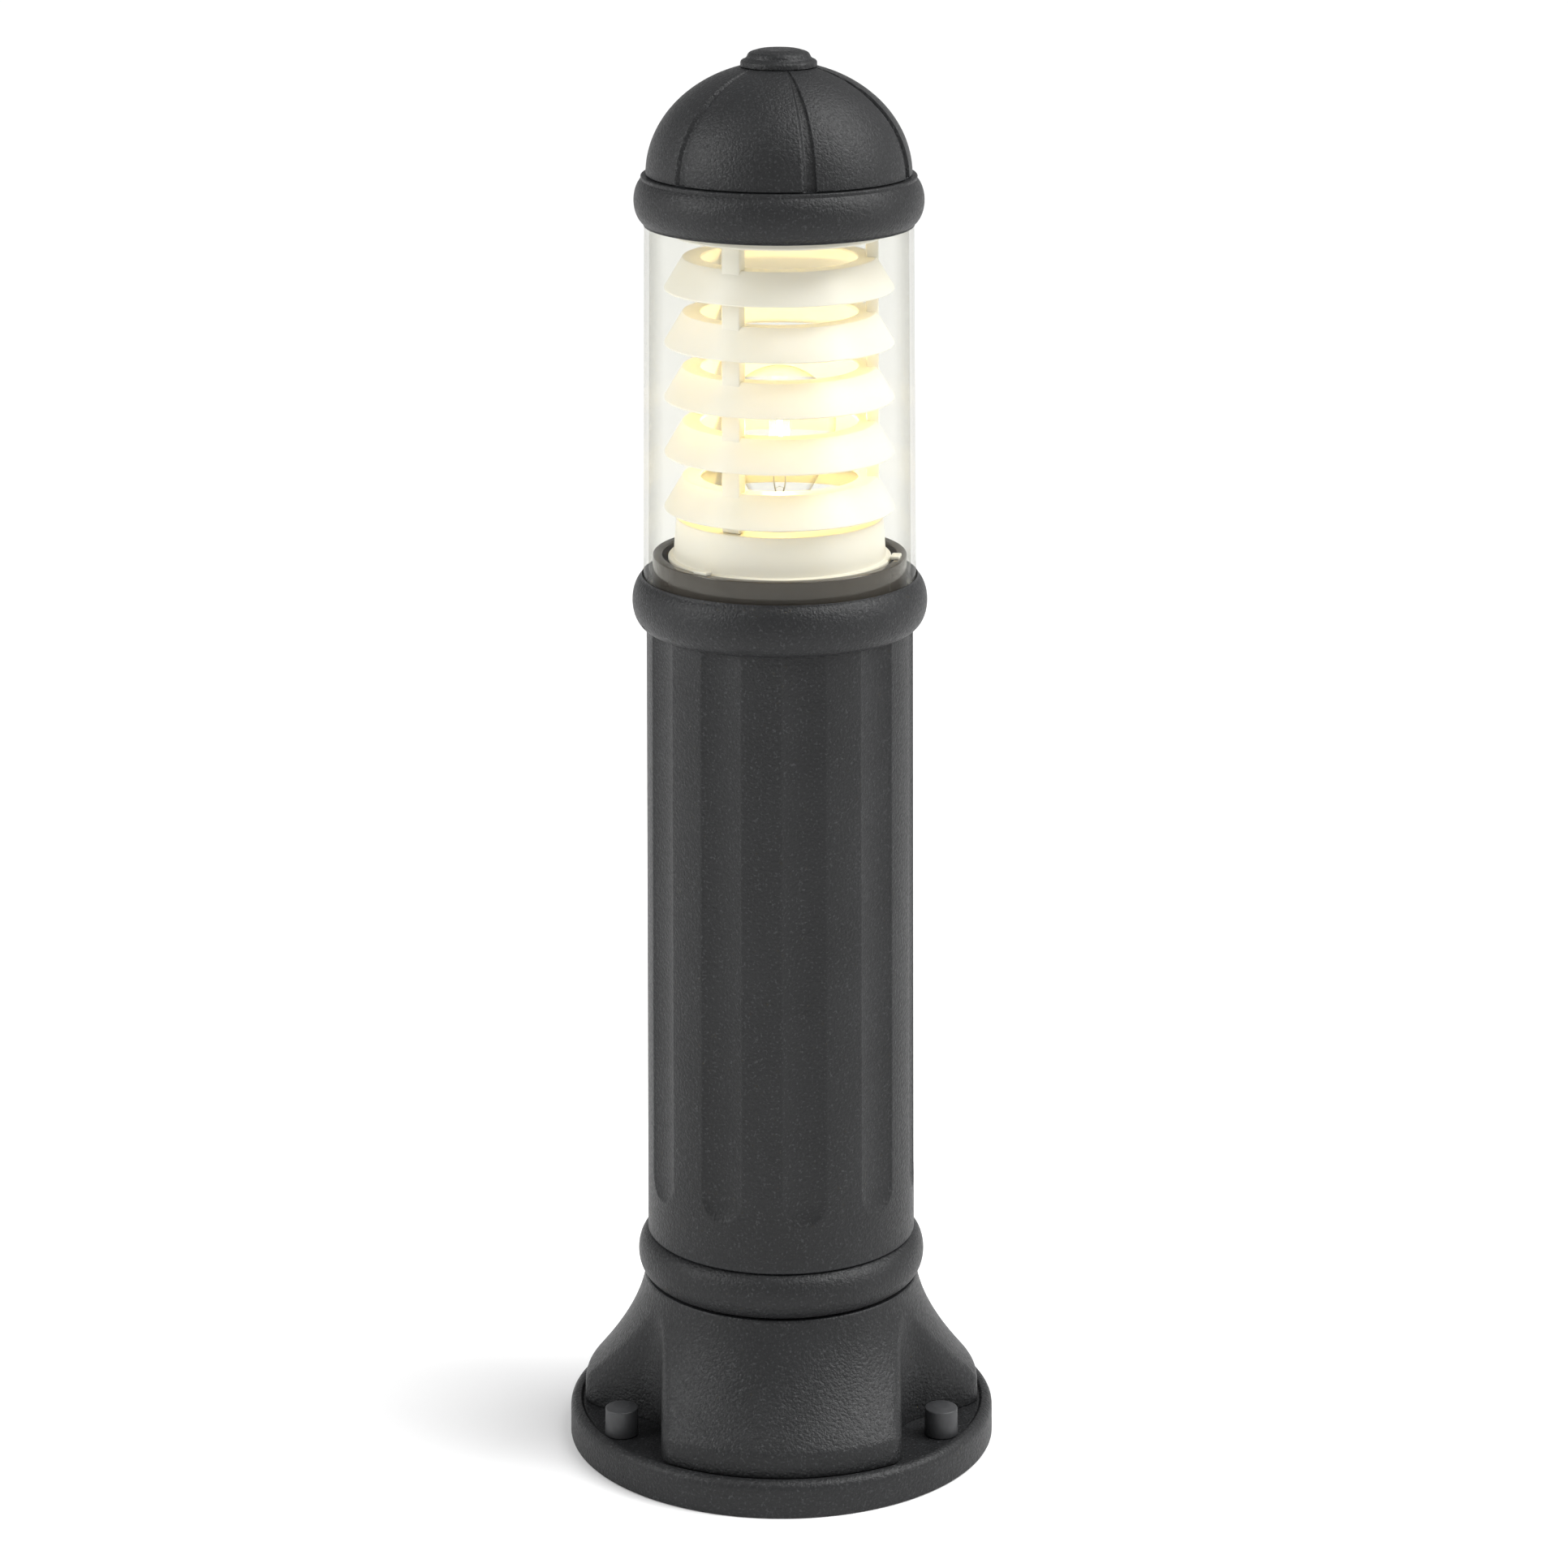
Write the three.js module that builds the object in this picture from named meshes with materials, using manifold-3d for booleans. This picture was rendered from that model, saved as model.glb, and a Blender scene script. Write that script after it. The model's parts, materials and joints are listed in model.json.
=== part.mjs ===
// Bollard light: a lobed cast base on a round ground plate, a fluted column, a clear
// diffuser with five louvre rings round an E27 lamp, and a domed cap.
// Millimetres, +Z up. The origin is the centre of the plate's underside, and the front
// of the light faces -Y. Azimuths are in degrees from the front (-Y) towards +X.
import * as THREE from "three";
import { mergeVertices } from "three/addons/utils/BufferGeometryUtils.js";
import Module from "manifold-3d";

const wasm = await Module();
wasm.setup();

// Clearance between two pieces that touch on the real object.
const GAP = 0.3;

// Facets round a full turn: large castings, louvre and gallery, lamp pieces, screws.
const LARGE = 32;
const MEDIUM = 24;
const LAMP = 16;
const SMALL = 8;

// Heights of the joints between the stacked pieces.
const TOTAL_HEIGHT = 731.5;
const PLATE_TOP = 17.8;
const BASE_TOP = 84;
const COLUMN_BOTTOM = 107.5;
const COLUMN_TOP = 453.2;
const CAP_RING_BOTTOM = 638.4;
const CAP_RING_TOP = 664.9;

// Ground plate.
const PLATE_RADIUS = 111.6;
const PLATE_SHOULDER = 4;
const RECESS_RADIUS = 105;
const RECESS_DEPTH = 1.5;
const RECESS_FLOOR = PLATE_TOP - RECESS_DEPTH;
const ENTRY_RADIUS = 36;
const GROUND_BOLT_CIRCLE = 96;
const GROUND_BOLT_AZIMUTHS = [60, 180, -60];

// Lobed base casting.
const LOBE_AZIMUTHS = [0, 120, -120];
const LOBE_HALF_WIDTH = 62;
const LOBE_TOE_RADIUS = 104;
const LOBE_CORNER = 12;
const VALLEY_FILLET = 22;
const NECK_RADIUS = 72;
const BASE_WALL = 5;
const BASE_WEB_UNDERSIDE = 76;
const WEB_BORE = 46;
const BASE_SCREW_CIRCLE = 88;
const COLUMN_SCREW_CIRCLE = 54;

// Column and its collar.
const COLUMN_RADIUS = 70.8;
const COLUMN_FOOT_RADIUS = 70.5;
const COLUMN_BORE = 65.4;
const COLUMN_FLANGE = 7;
const COLLAR_RADIUS = 78.35;
const COLLAR_MID = 439.7;
const COLLAR_HALF_HEIGHT = 14.3;
const SEAT_FLOOR = 442.6;
const SEAT_RADIUS = 72.9;
const FLUTES = 10;
const FLUTE_FIRST_AZIMUTH = 10;
const FLUTE_HALF_WIDTH = 12;
const FLUTE_DEPTH = 2.6;
const FLUTE_BOTTOM = 131;
const FLUTE_TOP = 425.7;
const SET_SCREW_AZIMUTHS = [-72, 108];
const SET_SCREW_HEIGHT = 428.5;

// Gallery, lampholder and lamp, all on the axis.
const GALLERY_BOTTOM = 421;
const GALLERY_BORE = 24;
const GALLERY_SKIRT_WALL = 3.4;
const CLAMP_GAP = 0.5;
const LUG = { width: 9, depth: 5, height: 1.7, radius: 62.3 };
const GALLERY_TOP = 463.7;
const GALLERY_FLOOR = 446;
const GALLERY_OUTER = 67.5;
const GALLERY_INNER = 62.5;
const LUG_AZIMUTHS = [-40, 80, 200];
const BRACKET_TOP = GALLERY_FLOOR + GAP + 2;
const HOLDER_TOP = 479;
const LAMP_BOTTOM = 457;
const LAMP_TOP = 563;
const LAMP_RADIUS = 30;
const LAMP_WIDEST = 533;
const THREAD_RADIUS = 13.1;

// Louvre.
const LOUVRE_RINGS = 5;
const LOUVRE_FIRST = 488;
const LOUVRE_PITCH = 29;
const LOUVRE_HEIGHT = 17.3;
const LOUVRE_BOTTOM_RADIUS = 61.6;
const LOUVRE_TOP_RADIUS = 51.5;
const LOUVRE_BORE = 42;
const LOUVRE_WALL = 2;
const LOUVRE_LID_BOTTOM = LOUVRE_FIRST + LOUVRE_RINGS * LOUVRE_PITCH;
const LOUVRE_LID_TOP = 639;
const POST_AZIMUTHS = [-29, 91, 211];
const POST_WIDTH = 10.5;
const POST_INNER = 46;
const POST_OUTER = 52.8;
const SKIRT_TOP = 484;

// Diffuser and cap.
const DIFFUSER_FOOT_RADIUS = 72.5;
const DIFFUSER_HEAD_RADIUS = 71.8;
const DIFFUSER_WALL = 2.8;
const DIFFUSER_BOTTOM = 446;
const DIFFUSER_TOP = 650;
const CAP_RING_RADIUS = 77.4;
const DOME_RADIUS = 71;
const DOME_HEIGHT = 59.4;
const DOME_INNER_RADIUS = 67.8;
const DOME_INNER_HEIGHT = 52;
const DOME_GROOVE_AZIMUTHS = [12.5, 72.5, 132.5];
const DOME_GROOVE_WIDTH = 8;
const DOME_GROOVE_DEPTH = 1;
const FINIAL_RADIUS = 20.5;
const FINIAL_TIER_RADIUS = 16.6;
const DOME_SCREW_CIRCLE = 64;
const DOME_SCREW_AZIMUTHS = [42.5, 162.5, 282.5];

const powderCoat = { color: 0x3b3c3e, roughness: 0.62, metalness: 0.25 };
const plasticDark = { color: 0x333436, roughness: 0.55, metalness: 0 };
const galleryGrey = { color: 0x5a554c, roughness: 0.35, metalness: 0.1 };
const louvreWhite = { color: 0xf3efe2, roughness: 0.4, metalness: 0 };
const clearPlastic = { color: 0xf4f2ea, roughness: 0.05, metalness: 0, opacity: 0.25, transparent: true };
const lampGlass = { color: 0xffffff, roughness: 0.02, metalness: 0, opacity: 0.2, transparent: true };
const lampFilament = { color: 0xffe2a0, roughness: 0.2, metalness: 0, emissive: 0xffc860 };
const brass = { color: 0xc9a45a, roughness: 0.3, metalness: 1 };
const nickel = { color: 0xc8c8c4, roughness: 0.3, metalness: 1 };
const zincSteel = { color: 0xa9abad, roughness: 0.4, metalness: 1 };
const rubber = { color: 0x1c1c1c, roughness: 0.9, metalness: 0 };
const silicone = { color: 0xd8d6cf, roughness: 0.7, metalness: 0 };
const holderBrown = { color: 0x5e3a1e, roughness: 0.35, metalness: 0 };
const terminalWhite = { color: 0xe6e4dc, roughness: 0.5, metalness: 0 };
const WIRE_COLOURS = { live: 0x6b3d1e, neutral: 0x2d5fa8, earth: 0x5f9c33 };

const light = new THREE.Group();

function add(name, geometry, look) {
  const mesh = new THREE.Mesh(geometry, new THREE.MeshStandardMaterial(look));
  mesh.name = name;
  light.add(mesh);
  return mesh;
}

function polar(radius, azimuth) {
  const angle = THREE.MathUtils.degToRad(azimuth);
  return [radius * Math.sin(angle), -radius * Math.cos(angle)];
}

// Points on an ellipse about (x, y), from one angle to another in degrees.
function arc(x, y, halfWidth, halfHeight, from, to, steps) {
  return Array.from({ length: steps + 1 }, (_, i) => {
    const angle = THREE.MathUtils.degToRad(from + ((to - from) * i) / steps);
    return [x + halfWidth * Math.cos(angle), y + halfHeight * Math.sin(angle)];
  });
}

// Turns a profile of [radius, height] pairs about the Z axis. A profile that is off the
// axis at its ends is closed on itself.
function lathe(profile, facets = LARGE) {
  const points = profile.map(([r, z]) => new THREE.Vector2(r, z));
  const touchesAxis = profile[0][0] === 0 && profile.at(-1)[0] === 0;
  if (!touchesAxis) points.push(points[0].clone());
  return new THREE.LatheGeometry(points, facets).rotateX(Math.PI / 2);
}

function shapeOf(outline) {
  return new THREE.Shape(outline.map(([x, y]) => new THREE.Vector2(x, y)));
}

// A straight prism of an [x, y] outline between two heights.
function prism(outline, bottom, top) {
  const options = { depth: top - bottom, bevelEnabled: false };
  return new THREE.ExtrudeGeometry(shapeOf(outline), options).translate(0, 0, bottom);
}

function block(width, depth, height, x, y, bottom) {
  return new THREE.BoxGeometry(width, depth, height).translate(x, y, bottom + height / 2);
}

function pin(radius, bottom, top, [x, y] = [0, 0], facets = SMALL) {
  return new THREE.CylinderGeometry(radius, radius, top - bottom, facets)
    .rotateX(Math.PI / 2)
    .translate(x, y, (bottom + top) / 2);
}

// A cylinder that points outwards from the axis at one azimuth and height.
function radialPin(radius, inner, outer, azimuth, height) {
  const length = outer - inner;
  const lying = new THREE.CylinderGeometry(radius, radius, length, SMALL);
  return turnTo(lying.translate(0, -(inner + length / 2), height), azimuth);
}

function turnTo(geometry, azimuth) {
  return geometry.rotateZ(THREE.MathUtils.degToRad(azimuth));
}

function toSolid(geometry) {
  const bare = geometry.clone();
  bare.deleteAttribute("normal");
  bare.deleteAttribute("uv");
  const merged = mergeVertices(bare);
  const vertProperties = merged.attributes.position.array;
  const triVerts = new Uint32Array(merged.index.array);
  return new wasm.Manifold(new wasm.Mesh({ numProp: 3, vertProperties, triVerts }));
}

function toGeometry(solid) {
  const { vertProperties, triVerts } = solid.getMesh();
  return new THREE.BufferGeometry()
    .setAttribute("position", new THREE.BufferAttribute(vertProperties, 3))
    .setIndex(new THREE.BufferAttribute(triVerts, 1));
}

function joined(...geometries) {
  const solids = geometries.map(toSolid);
  return toGeometry(solids.reduce((whole, piece) => whole.add(piece)));
}

function cut(geometry, ...tools) {
  return toGeometry(tools.map(toSolid).reduce((body, tool) => body.subtract(tool), toSolid(geometry)));
}

// --- Ground plate and its fixings ---------------------------------------------------

const BASE_SCREW = { shank: 2.5, head: 4.5, headBottom: 1.2, headTop: 5.2, top: 30 };
const COLUMN_SCREW = { shank: 2.5, head: 4.5, headBottom: 71.8, headTop: 75.7, top: 112 };
const GROUND_BOLT = { shank: 3, flange: 6.2, head: 5.5, bottom: 1.5, flangeTop: 18.2, top: 22 };
const BOLT_CAP = { radius: 8.7, bore: 7, bottom: RECESS_FLOOR + GAP, height: 14.6, crown: 2.2 };

function basePlate() {
  const edge = PLATE_RADIUS - PLATE_SHOULDER;
  const shoulder = PLATE_TOP - PLATE_SHOULDER;
  const disc = lathe([
    [ENTRY_RADIUS, 0],
    [PLATE_RADIUS - 1, 0],
    [PLATE_RADIUS, 1],
    ...arc(edge, shoulder, PLATE_SHOULDER, PLATE_SHOULDER, 0, 90, 2),
    [RECESS_RADIUS + RECESS_DEPTH, PLATE_TOP],
    [RECESS_RADIUS, RECESS_FLOOR],
    [ENTRY_RADIUS, RECESS_FLOOR],
  ]);
  const boltHoles = GROUND_BOLT_AZIMUTHS.map((a) =>
    pin(GROUND_BOLT.shank + 0.5, -1, PLATE_TOP, polar(GROUND_BOLT_CIRCLE, a)),
  );
  const screwHoles = LOBE_AZIMUTHS.flatMap((a) => [
    pin(BASE_SCREW.shank + 0.4, -1, PLATE_TOP, polar(BASE_SCREW_CIRCLE, a)),
    pin(BASE_SCREW.head + 0.6, -1, BASE_SCREW.headTop + GAP, polar(BASE_SCREW_CIRCLE, a)),
  ]);
  return cut(disc, ...boltHoles, ...screwHoles);
}

function groundBolt(azimuth) {
  const { shank, flange, head, bottom, flangeTop, top } = GROUND_BOLT;
  const seat = RECESS_FLOOR + GAP;
  const [x, y] = polar(GROUND_BOLT_CIRCLE, azimuth);
  const profile = [
    [0, bottom],
    [shank, bottom],
    [shank, seat],
    [flange, seat],
    [flange, flangeTop],
    [head, flangeTop],
    [head, top],
    [0, top],
  ];
  return lathe(profile, SMALL).translate(x, y, 0);
}

function boltCap(azimuth) {
  const { radius, bore, bottom, height, crown } = BOLT_CAP;
  const [x, y] = polar(GROUND_BOLT_CIRCLE, azimuth);
  const top = bottom + height;
  const profile = [
    [0, top - crown],
    [bore, top - crown],
    [bore, bottom],
    [radius, bottom],
    ...arc(radius - crown, top - crown, crown, crown, 0, 90, 2),
    [0, top],
  ];
  return lathe(profile, 12).translate(x, y, 0);
}

function screw({ shank, head, headBottom, headTop, top }, [x, y]) {
  const profile = [
    [0, headBottom],
    [head, headBottom],
    [head, headTop],
    [shank, headTop],
    [shank, top],
    [0, top],
  ];
  return lathe(profile, SMALL).translate(x, y, 0);
}

add("base_plate", basePlate(), powderCoat);
GROUND_BOLT_AZIMUTHS.forEach((azimuth, i) => {
  add(`ground_bolt_${i + 1}`, groundBolt(azimuth), zincSteel);
  add(`bolt_cap_${i + 1}`, boltCap(azimuth), plasticDark);
});
LOBE_AZIMUTHS.forEach((azimuth, i) => {
  add(`base_screw_${i + 1}`, screw(BASE_SCREW, polar(BASE_SCREW_CIRCLE, azimuth)), zincSteel);
});

// --- Lobed base casting -------------------------------------------------------------

const TERMINAL = {
  screwCircle: 55,
  screwHole: 2.3,
  plateFront: 36,
  plateBottom: 30,
  plateWidth: 44,
  tabWidth: 20,
  thickness: 2,
  blockWidth: 36,
  blockDepth: 14,
  blockHeight: 22,
  blockBottom: 38,
  well: 3,
  wellPitch: 12,
  wireY: 28.5,
};
const TERMINAL_SCREW = { shank: 2, head: 3.8, headBottom: 69.8, headTop: 73.4, top: 82 };
const BOSS_RADIUS = 7;
const GROMMET = { bore: 9, bottom: 4, shoulder: 12, top: 20, nozzleFoot: 14, nozzleTop: 12 };

// The plan outline of the three lobes, drawn in by `inset` on every side.
function lobeOutline(inset) {
  const side = LOBE_HALF_WIDTH - inset;
  const corner = LOBE_CORNER - inset;
  const toe = LOBE_TOE_RADIUS - inset;
  const fillet = VALLEY_FILLET + inset;
  const cornerAcross = side - corner;
  const cornerAlong = Math.sqrt((toe - corner) ** 2 - cornerAcross ** 2);
  const cornerAngle = THREE.MathUtils.radToDeg(Math.atan2(cornerAcross, cornerAlong));
  const valley = (side + fillet) / Math.sin(Math.PI / 3);
  const lobe = [
    ...arc(cornerAlong, -cornerAcross, corner, corner, -90, -cornerAngle, 2),
    ...arc(0, 0, toe, toe, -cornerAngle, cornerAngle, 4).slice(1, -1),
    ...arc(cornerAlong, cornerAcross, corner, corner, cornerAngle, 90, 2),
  ];
  const hollow = arc(valley * 0.5, valley * Math.sin(Math.PI / 3), fillet, fillet, 270, 210, 2);
  const third = [...lobe, ...hollow];
  return LOBE_AZIMUTHS.map((_, i) => THREE.MathUtils.degToRad(120 * i - 90)).flatMap((turn) =>
    third.map(([x, y]) => [
      x * Math.cos(turn) - y * Math.sin(turn),
      x * Math.sin(turn) + y * Math.cos(turn),
    ]),
  );
}

// The flare of the lobes from the toe up to the neck, as [radius, height] pairs.
function flare(inset, bottom, top) {
  const toe = LOBE_TOE_RADIUS - inset;
  const sweep = new THREE.QuadraticBezierCurve(
    new THREE.Vector2(98.5 - inset, 32 - inset / 2),
    new THREE.Vector2(75.5 - inset, 62.5 - inset / 2),
    new THREE.Vector2(NECK_RADIUS - inset, top),
  );
  const points = sweep.getPoints(4).map(({ x, y }) => [x, y]);
  return [[toe, bottom], [toe, 22.5 - inset / 2], [toe - 1.4, 27 - inset / 2], ...points];
}

function baseBody() {
  const bottom = RECESS_FLOOR + GAP;
  const outerTurned = lathe([[0, bottom], ...flare(0, bottom, BASE_TOP), [0, BASE_TOP]]);
  const innerTurned = lathe([
    [0, bottom - 1],
    ...flare(BASE_WALL, bottom - 1, BASE_WEB_UNDERSIDE),
    [0, BASE_WEB_UNDERSIDE],
  ]);
  const outer = toSolid(outerTurned).intersect(toSolid(prism(lobeOutline(0), 0, BASE_TOP + 1)));
  const hollow = toSolid(innerTurned).intersect(
    toSolid(prism(lobeOutline(BASE_WALL), 0, BASE_TOP + 1)),
  );
  const bosses = LOBE_AZIMUTHS.map((a) =>
    toSolid(pin(BOSS_RADIUS, 0, BASE_WEB_UNDERSIDE, polar(BASE_SCREW_CIRCLE, a))),
  );
  const webBottom = BASE_WEB_UNDERSIDE - 1;
  const webTop = BASE_TOP + 1;
  const holes = [
    pin(WEB_BORE, webBottom, webTop, [0, 0], MEDIUM),
    ...LOBE_AZIMUTHS.map((a) =>
      pin(BASE_SCREW.shank + GAP, 0, BASE_SCREW.top + 1, polar(BASE_SCREW_CIRCLE, a)),
    ),
    ...LOBE_AZIMUTHS.map((a) =>
      pin(COLUMN_SCREW.shank + GAP, webBottom, webTop, polar(COLUMN_SCREW_CIRCLE, a)),
    ),
    pin(TERMINAL.screwHole, webBottom, webTop, polar(TERMINAL.screwCircle, 180)),
  ].map(toSolid);
  const room = bosses.reduce((space, boss) => space.subtract(boss), hollow);
  return toGeometry(holes.reduce((body, hole) => body.subtract(hole), outer.subtract(room)));
}


function terminalBracket() {
  const { screwCircle, screwHole, plateFront, plateBottom, plateWidth, tabWidth, thickness } = TERMINAL;
  const top = BASE_WEB_UNDERSIDE - GAP;
  const height = top - plateBottom;
  const upright = block(plateWidth, thickness, height, 0, plateFront + thickness / 2, plateBottom);
  const tabDepth = screwCircle + 5 - plateFront;
  const tab = block(tabWidth, tabDepth, thickness, 0, plateFront + tabDepth / 2, top - thickness);
  const hole = pin(screwHole, top - thickness - 1, top + 1, polar(screwCircle, 180));
  return cut(joined(upright, tab), hole);
}

function terminalBlock() {
  const { plateFront, blockWidth, blockDepth, blockHeight, blockBottom, well, wellPitch } = TERMINAL;
  const front = plateFront - GAP - blockDepth;
  const body = block(blockWidth, blockDepth, blockHeight, 0, front + blockDepth / 2, blockBottom);
  const wells = [-wellPitch, 0, wellPitch].map((x) =>
    new THREE.CylinderGeometry(well, well, 8, SMALL).translate(x, front, blockBottom + blockHeight / 2),
  );
  return cut(body, ...wells);
}

function cableGrommet() {
  const { bore, bottom, shoulder, top, nozzleFoot, nozzleTop } = GROMMET;
  const profile = [
    [bore, bottom],
    [ENTRY_RADIUS - GAP, bottom],
    [ENTRY_RADIUS - GAP, shoulder],
    [nozzleFoot, shoulder],
    [nozzleTop, top],
    [bore, top],
  ];
  return lathe(profile, MEDIUM);
}

add("base_body", baseBody(), powderCoat);
add("cable_grommet", cableGrommet(), rubber);
add("terminal_bracket", terminalBracket(), zincSteel);
add("terminal_block", terminalBlock(), terminalWhite);
add("bracket_screw", screw(TERMINAL_SCREW, polar(TERMINAL.screwCircle, 180)), zincSteel);

// --- Lower ring and column ----------------------------------------------------------

const LOWER_RING = { bore: 64, bead: 68, bulge: 7.8, webHalf: 4 };
const COLLAR_BULGE = 9;
const SET_SCREW = { radius: 2, hole: 2.4, outer: 70 };

function lowerRing() {
  const { bore, bead, bulge, webHalf } = LOWER_RING;
  const bottom = BASE_TOP + GAP;
  const top = COLUMN_BOTTOM - GAP;
  const middle = (bottom + top) / 2;
  const ring = lathe([
    [bore, bottom],
    ...arc(bead, middle, bulge, (top - bottom) / 2, -75, 75, 5),
    [bore, top],
    [bore, middle + webHalf],
    [WEB_BORE + 2, middle + webHalf],
    [WEB_BORE + 2, middle - webHalf],
    [bore, middle - webHalf],
  ]);
  const holes = LOBE_AZIMUTHS.map((a) =>
    pin(COLUMN_SCREW.shank + GAP, bottom, top, polar(COLUMN_SCREW_CIRCLE, a)),
  );
  return cut(ring, ...holes);
}

// The lens between a flute's hollow and the column's skin, as a prism to cut away.
function fluteCutter(azimuth) {
  const chordRadius = Math.sqrt(COLUMN_RADIUS ** 2 - FLUTE_HALF_WIDTH ** 2);
  const sag = chordRadius - (COLUMN_RADIUS - FLUTE_DEPTH);
  const hollow = (FLUTE_HALF_WIDTH ** 2 + sag ** 2) / (2 * sag);
  const halfAngle = THREE.MathUtils.radToDeg(Math.asin(FLUTE_HALF_WIDTH / hollow));
  const centre = -(COLUMN_RADIUS - FLUTE_DEPTH + hollow);
  const outline = [
    ...arc(0, centre, hollow, hollow, 90 + halfAngle, 90 - halfAngle, 2),
    [FLUTE_HALF_WIDTH + 1, -COLUMN_RADIUS - 3],
    [-FLUTE_HALF_WIDTH - 1, -COLUMN_RADIUS - 3],
  ];
  return turnTo(prism(outline.reverse(), FLUTE_BOTTOM, FLUTE_TOP), azimuth);
}

function column() {
  const bead = COLLAR_RADIUS - COLLAR_BULGE;
  const flangeTop = COLUMN_BOTTOM + COLUMN_FLANGE;
  const body = lathe([
    [WEB_BORE + 1, COLUMN_BOTTOM],
    [COLUMN_FOOT_RADIUS, COLUMN_BOTTOM],
    [COLUMN_RADIUS, COLLAR_MID - COLLAR_HALF_HEIGHT],
    ...arc(bead, COLLAR_MID, COLLAR_BULGE, COLLAR_HALF_HEIGHT, -70, 55, 5),
    [SEAT_RADIUS + 0.4, COLUMN_TOP],
    [SEAT_RADIUS, COLUMN_TOP - 0.4],
    [SEAT_RADIUS, SEAT_FLOOR],
    [COLUMN_BORE, SEAT_FLOOR],
    [COLUMN_BORE, flangeTop],
    [WEB_BORE + 1, flangeTop],
  ]);
  const flutes = Array.from({ length: FLUTES }, (_, i) =>
    fluteCutter(FLUTE_FIRST_AZIMUTH + (i * 360) / FLUTES),
  );
  const screwHoles = LOBE_AZIMUTHS.map((a) =>
    pin(COLUMN_SCREW.shank + GAP, COLUMN_BOTTOM - 1, flangeTop + 1, polar(COLUMN_SCREW_CIRCLE, a)),
  );
  const setScrewHoles = SET_SCREW_AZIMUTHS.map((a) =>
    radialPin(SET_SCREW.hole, COLUMN_BORE - 5, COLLAR_RADIUS + 2, a, SET_SCREW_HEIGHT),
  );
  return cut(body, ...flutes, ...screwHoles, ...setScrewHoles);
}

add("lower_ring", lowerRing(), powderCoat);
add("column", column(), powderCoat);
LOBE_AZIMUTHS.forEach((azimuth, i) => {
  add(`column_screw_${i + 1}`, screw(COLUMN_SCREW, polar(COLUMN_SCREW_CIRCLE, azimuth)), zincSteel);
});
["left", "right"].forEach((side, i) => {
  const { radius, outer } = SET_SCREW;
  const geometry = radialPin(radius, COLUMN_BORE, outer, SET_SCREW_AZIMUTHS[i], SET_SCREW_HEIGHT);
  add(`set_screw_${side}`, geometry, zincSteel);
});

// --- Gallery, lampholder and wiring -------------------------------------------------

const BRACKET = { length: 84, width: 24, screwReach: 34, earthReach: 18, wireHole: 2 };
const BRACKET_SCREW = { shank: 1.8, head: 3.5, headHeight: 2.5, hole: 2.1, bottom: 441 };
const HOLDER = { foot: 17, body: 21, rim: 25, mouth: 19, bore: 14.8, floor: 3.4 };
const SHELL = { inner: 13.6, outer: 14.4, bottom: BRACKET_TOP + 4, top: HOLDER_TOP - 3 };
const WIRE_RADIUS = 1.3;
// The wires' way up the column: share of the sideways start, distance back, height.
const WIRE_WAY = [[1, 27.5, 90], [0.9, 24, 180], [0.8, 23, 300], [0.7, 22, 395], [0.7, 20.5, 421]];
const WIRE_TURN = 437;
const WIRE_HOLES = { live: -6, neutral: 6 };

// Two holes through the gallery's floor and the bracket, for the holder screws.
function bracketScrewHoles() {
  const bottom = SEAT_FLOOR - 1;
  return [-1, 1].map((side) =>
    pin(BRACKET_SCREW.hole, bottom, BRACKET_TOP + 1, [0, side * BRACKET.screwReach]),
  );
}

function galleryRing() {
  const skirtOuter = COLUMN_BORE - CLAMP_GAP;
  const skirtInner = skirtOuter - GALLERY_SKIRT_WALL;
  const seat = SEAT_FLOOR + GAP;
  const profile = [
    [skirtInner, GALLERY_BOTTOM],
    [skirtOuter, GALLERY_BOTTOM],
    [skirtOuter, seat],
    [GALLERY_OUTER, seat],
    [GALLERY_OUTER, GALLERY_TOP],
    [GALLERY_INNER, GALLERY_TOP],
    [GALLERY_INNER, GALLERY_FLOOR],
    [GALLERY_BORE, GALLERY_FLOOR],
    [GALLERY_BORE, seat],
    [skirtInner, seat],
  ];
  const pan = lathe(profile, MEDIUM);
  const { width, depth, height, radius } = LUG;
  const lugs = LUG_AZIMUTHS.map((a) =>
    turnTo(block(width, depth, height, 0, -radius, GALLERY_TOP - GAP), a),
  );
  return cut(joined(pan, ...lugs), ...bracketScrewHoles());
}

function holderBracket() {
  const bottom = GALLERY_FLOOR + GAP;
  const bar = block(BRACKET.width, BRACKET.length, BRACKET_TOP - bottom, 0, 0, bottom);
  const wireHoles = Object.values(WIRE_HOLES).map((x) =>
    pin(BRACKET.wireHole, bottom - 1, BRACKET_TOP + 1, [x, 0]),
  );
  const earthHole = pin(BRACKET_SCREW.hole, bottom - 1, BRACKET_TOP + 1, [0, BRACKET.earthReach]);
  return cut(bar, ...bracketScrewHoles(), ...wireHoles, earthHole);
}

function lampholderBody() {
  const { foot, body, rim, mouth, bore, floor } = HOLDER;
  const bottom = BRACKET_TOP + GAP;
  const profile = [
    [0, bottom],
    [foot, bottom],
    [body, bottom + 6],
    [body, HOLDER_TOP - 7],
    [rim, HOLDER_TOP - 5],
    [rim, HOLDER_TOP],
    [mouth, HOLDER_TOP],
    [bore, HOLDER_TOP - 2],
    [bore, bottom + floor],
    [0, bottom + floor],
  ];
  return lathe(profile, LAMP);
}

function lampholderShell() {
  const { inner, outer, bottom, top } = SHELL;
  const profile = [
    [inner, bottom],
    [outer, bottom],
    [outer, top],
    [inner, top],
  ];
  return lathe(profile, LAMP);
}

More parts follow.
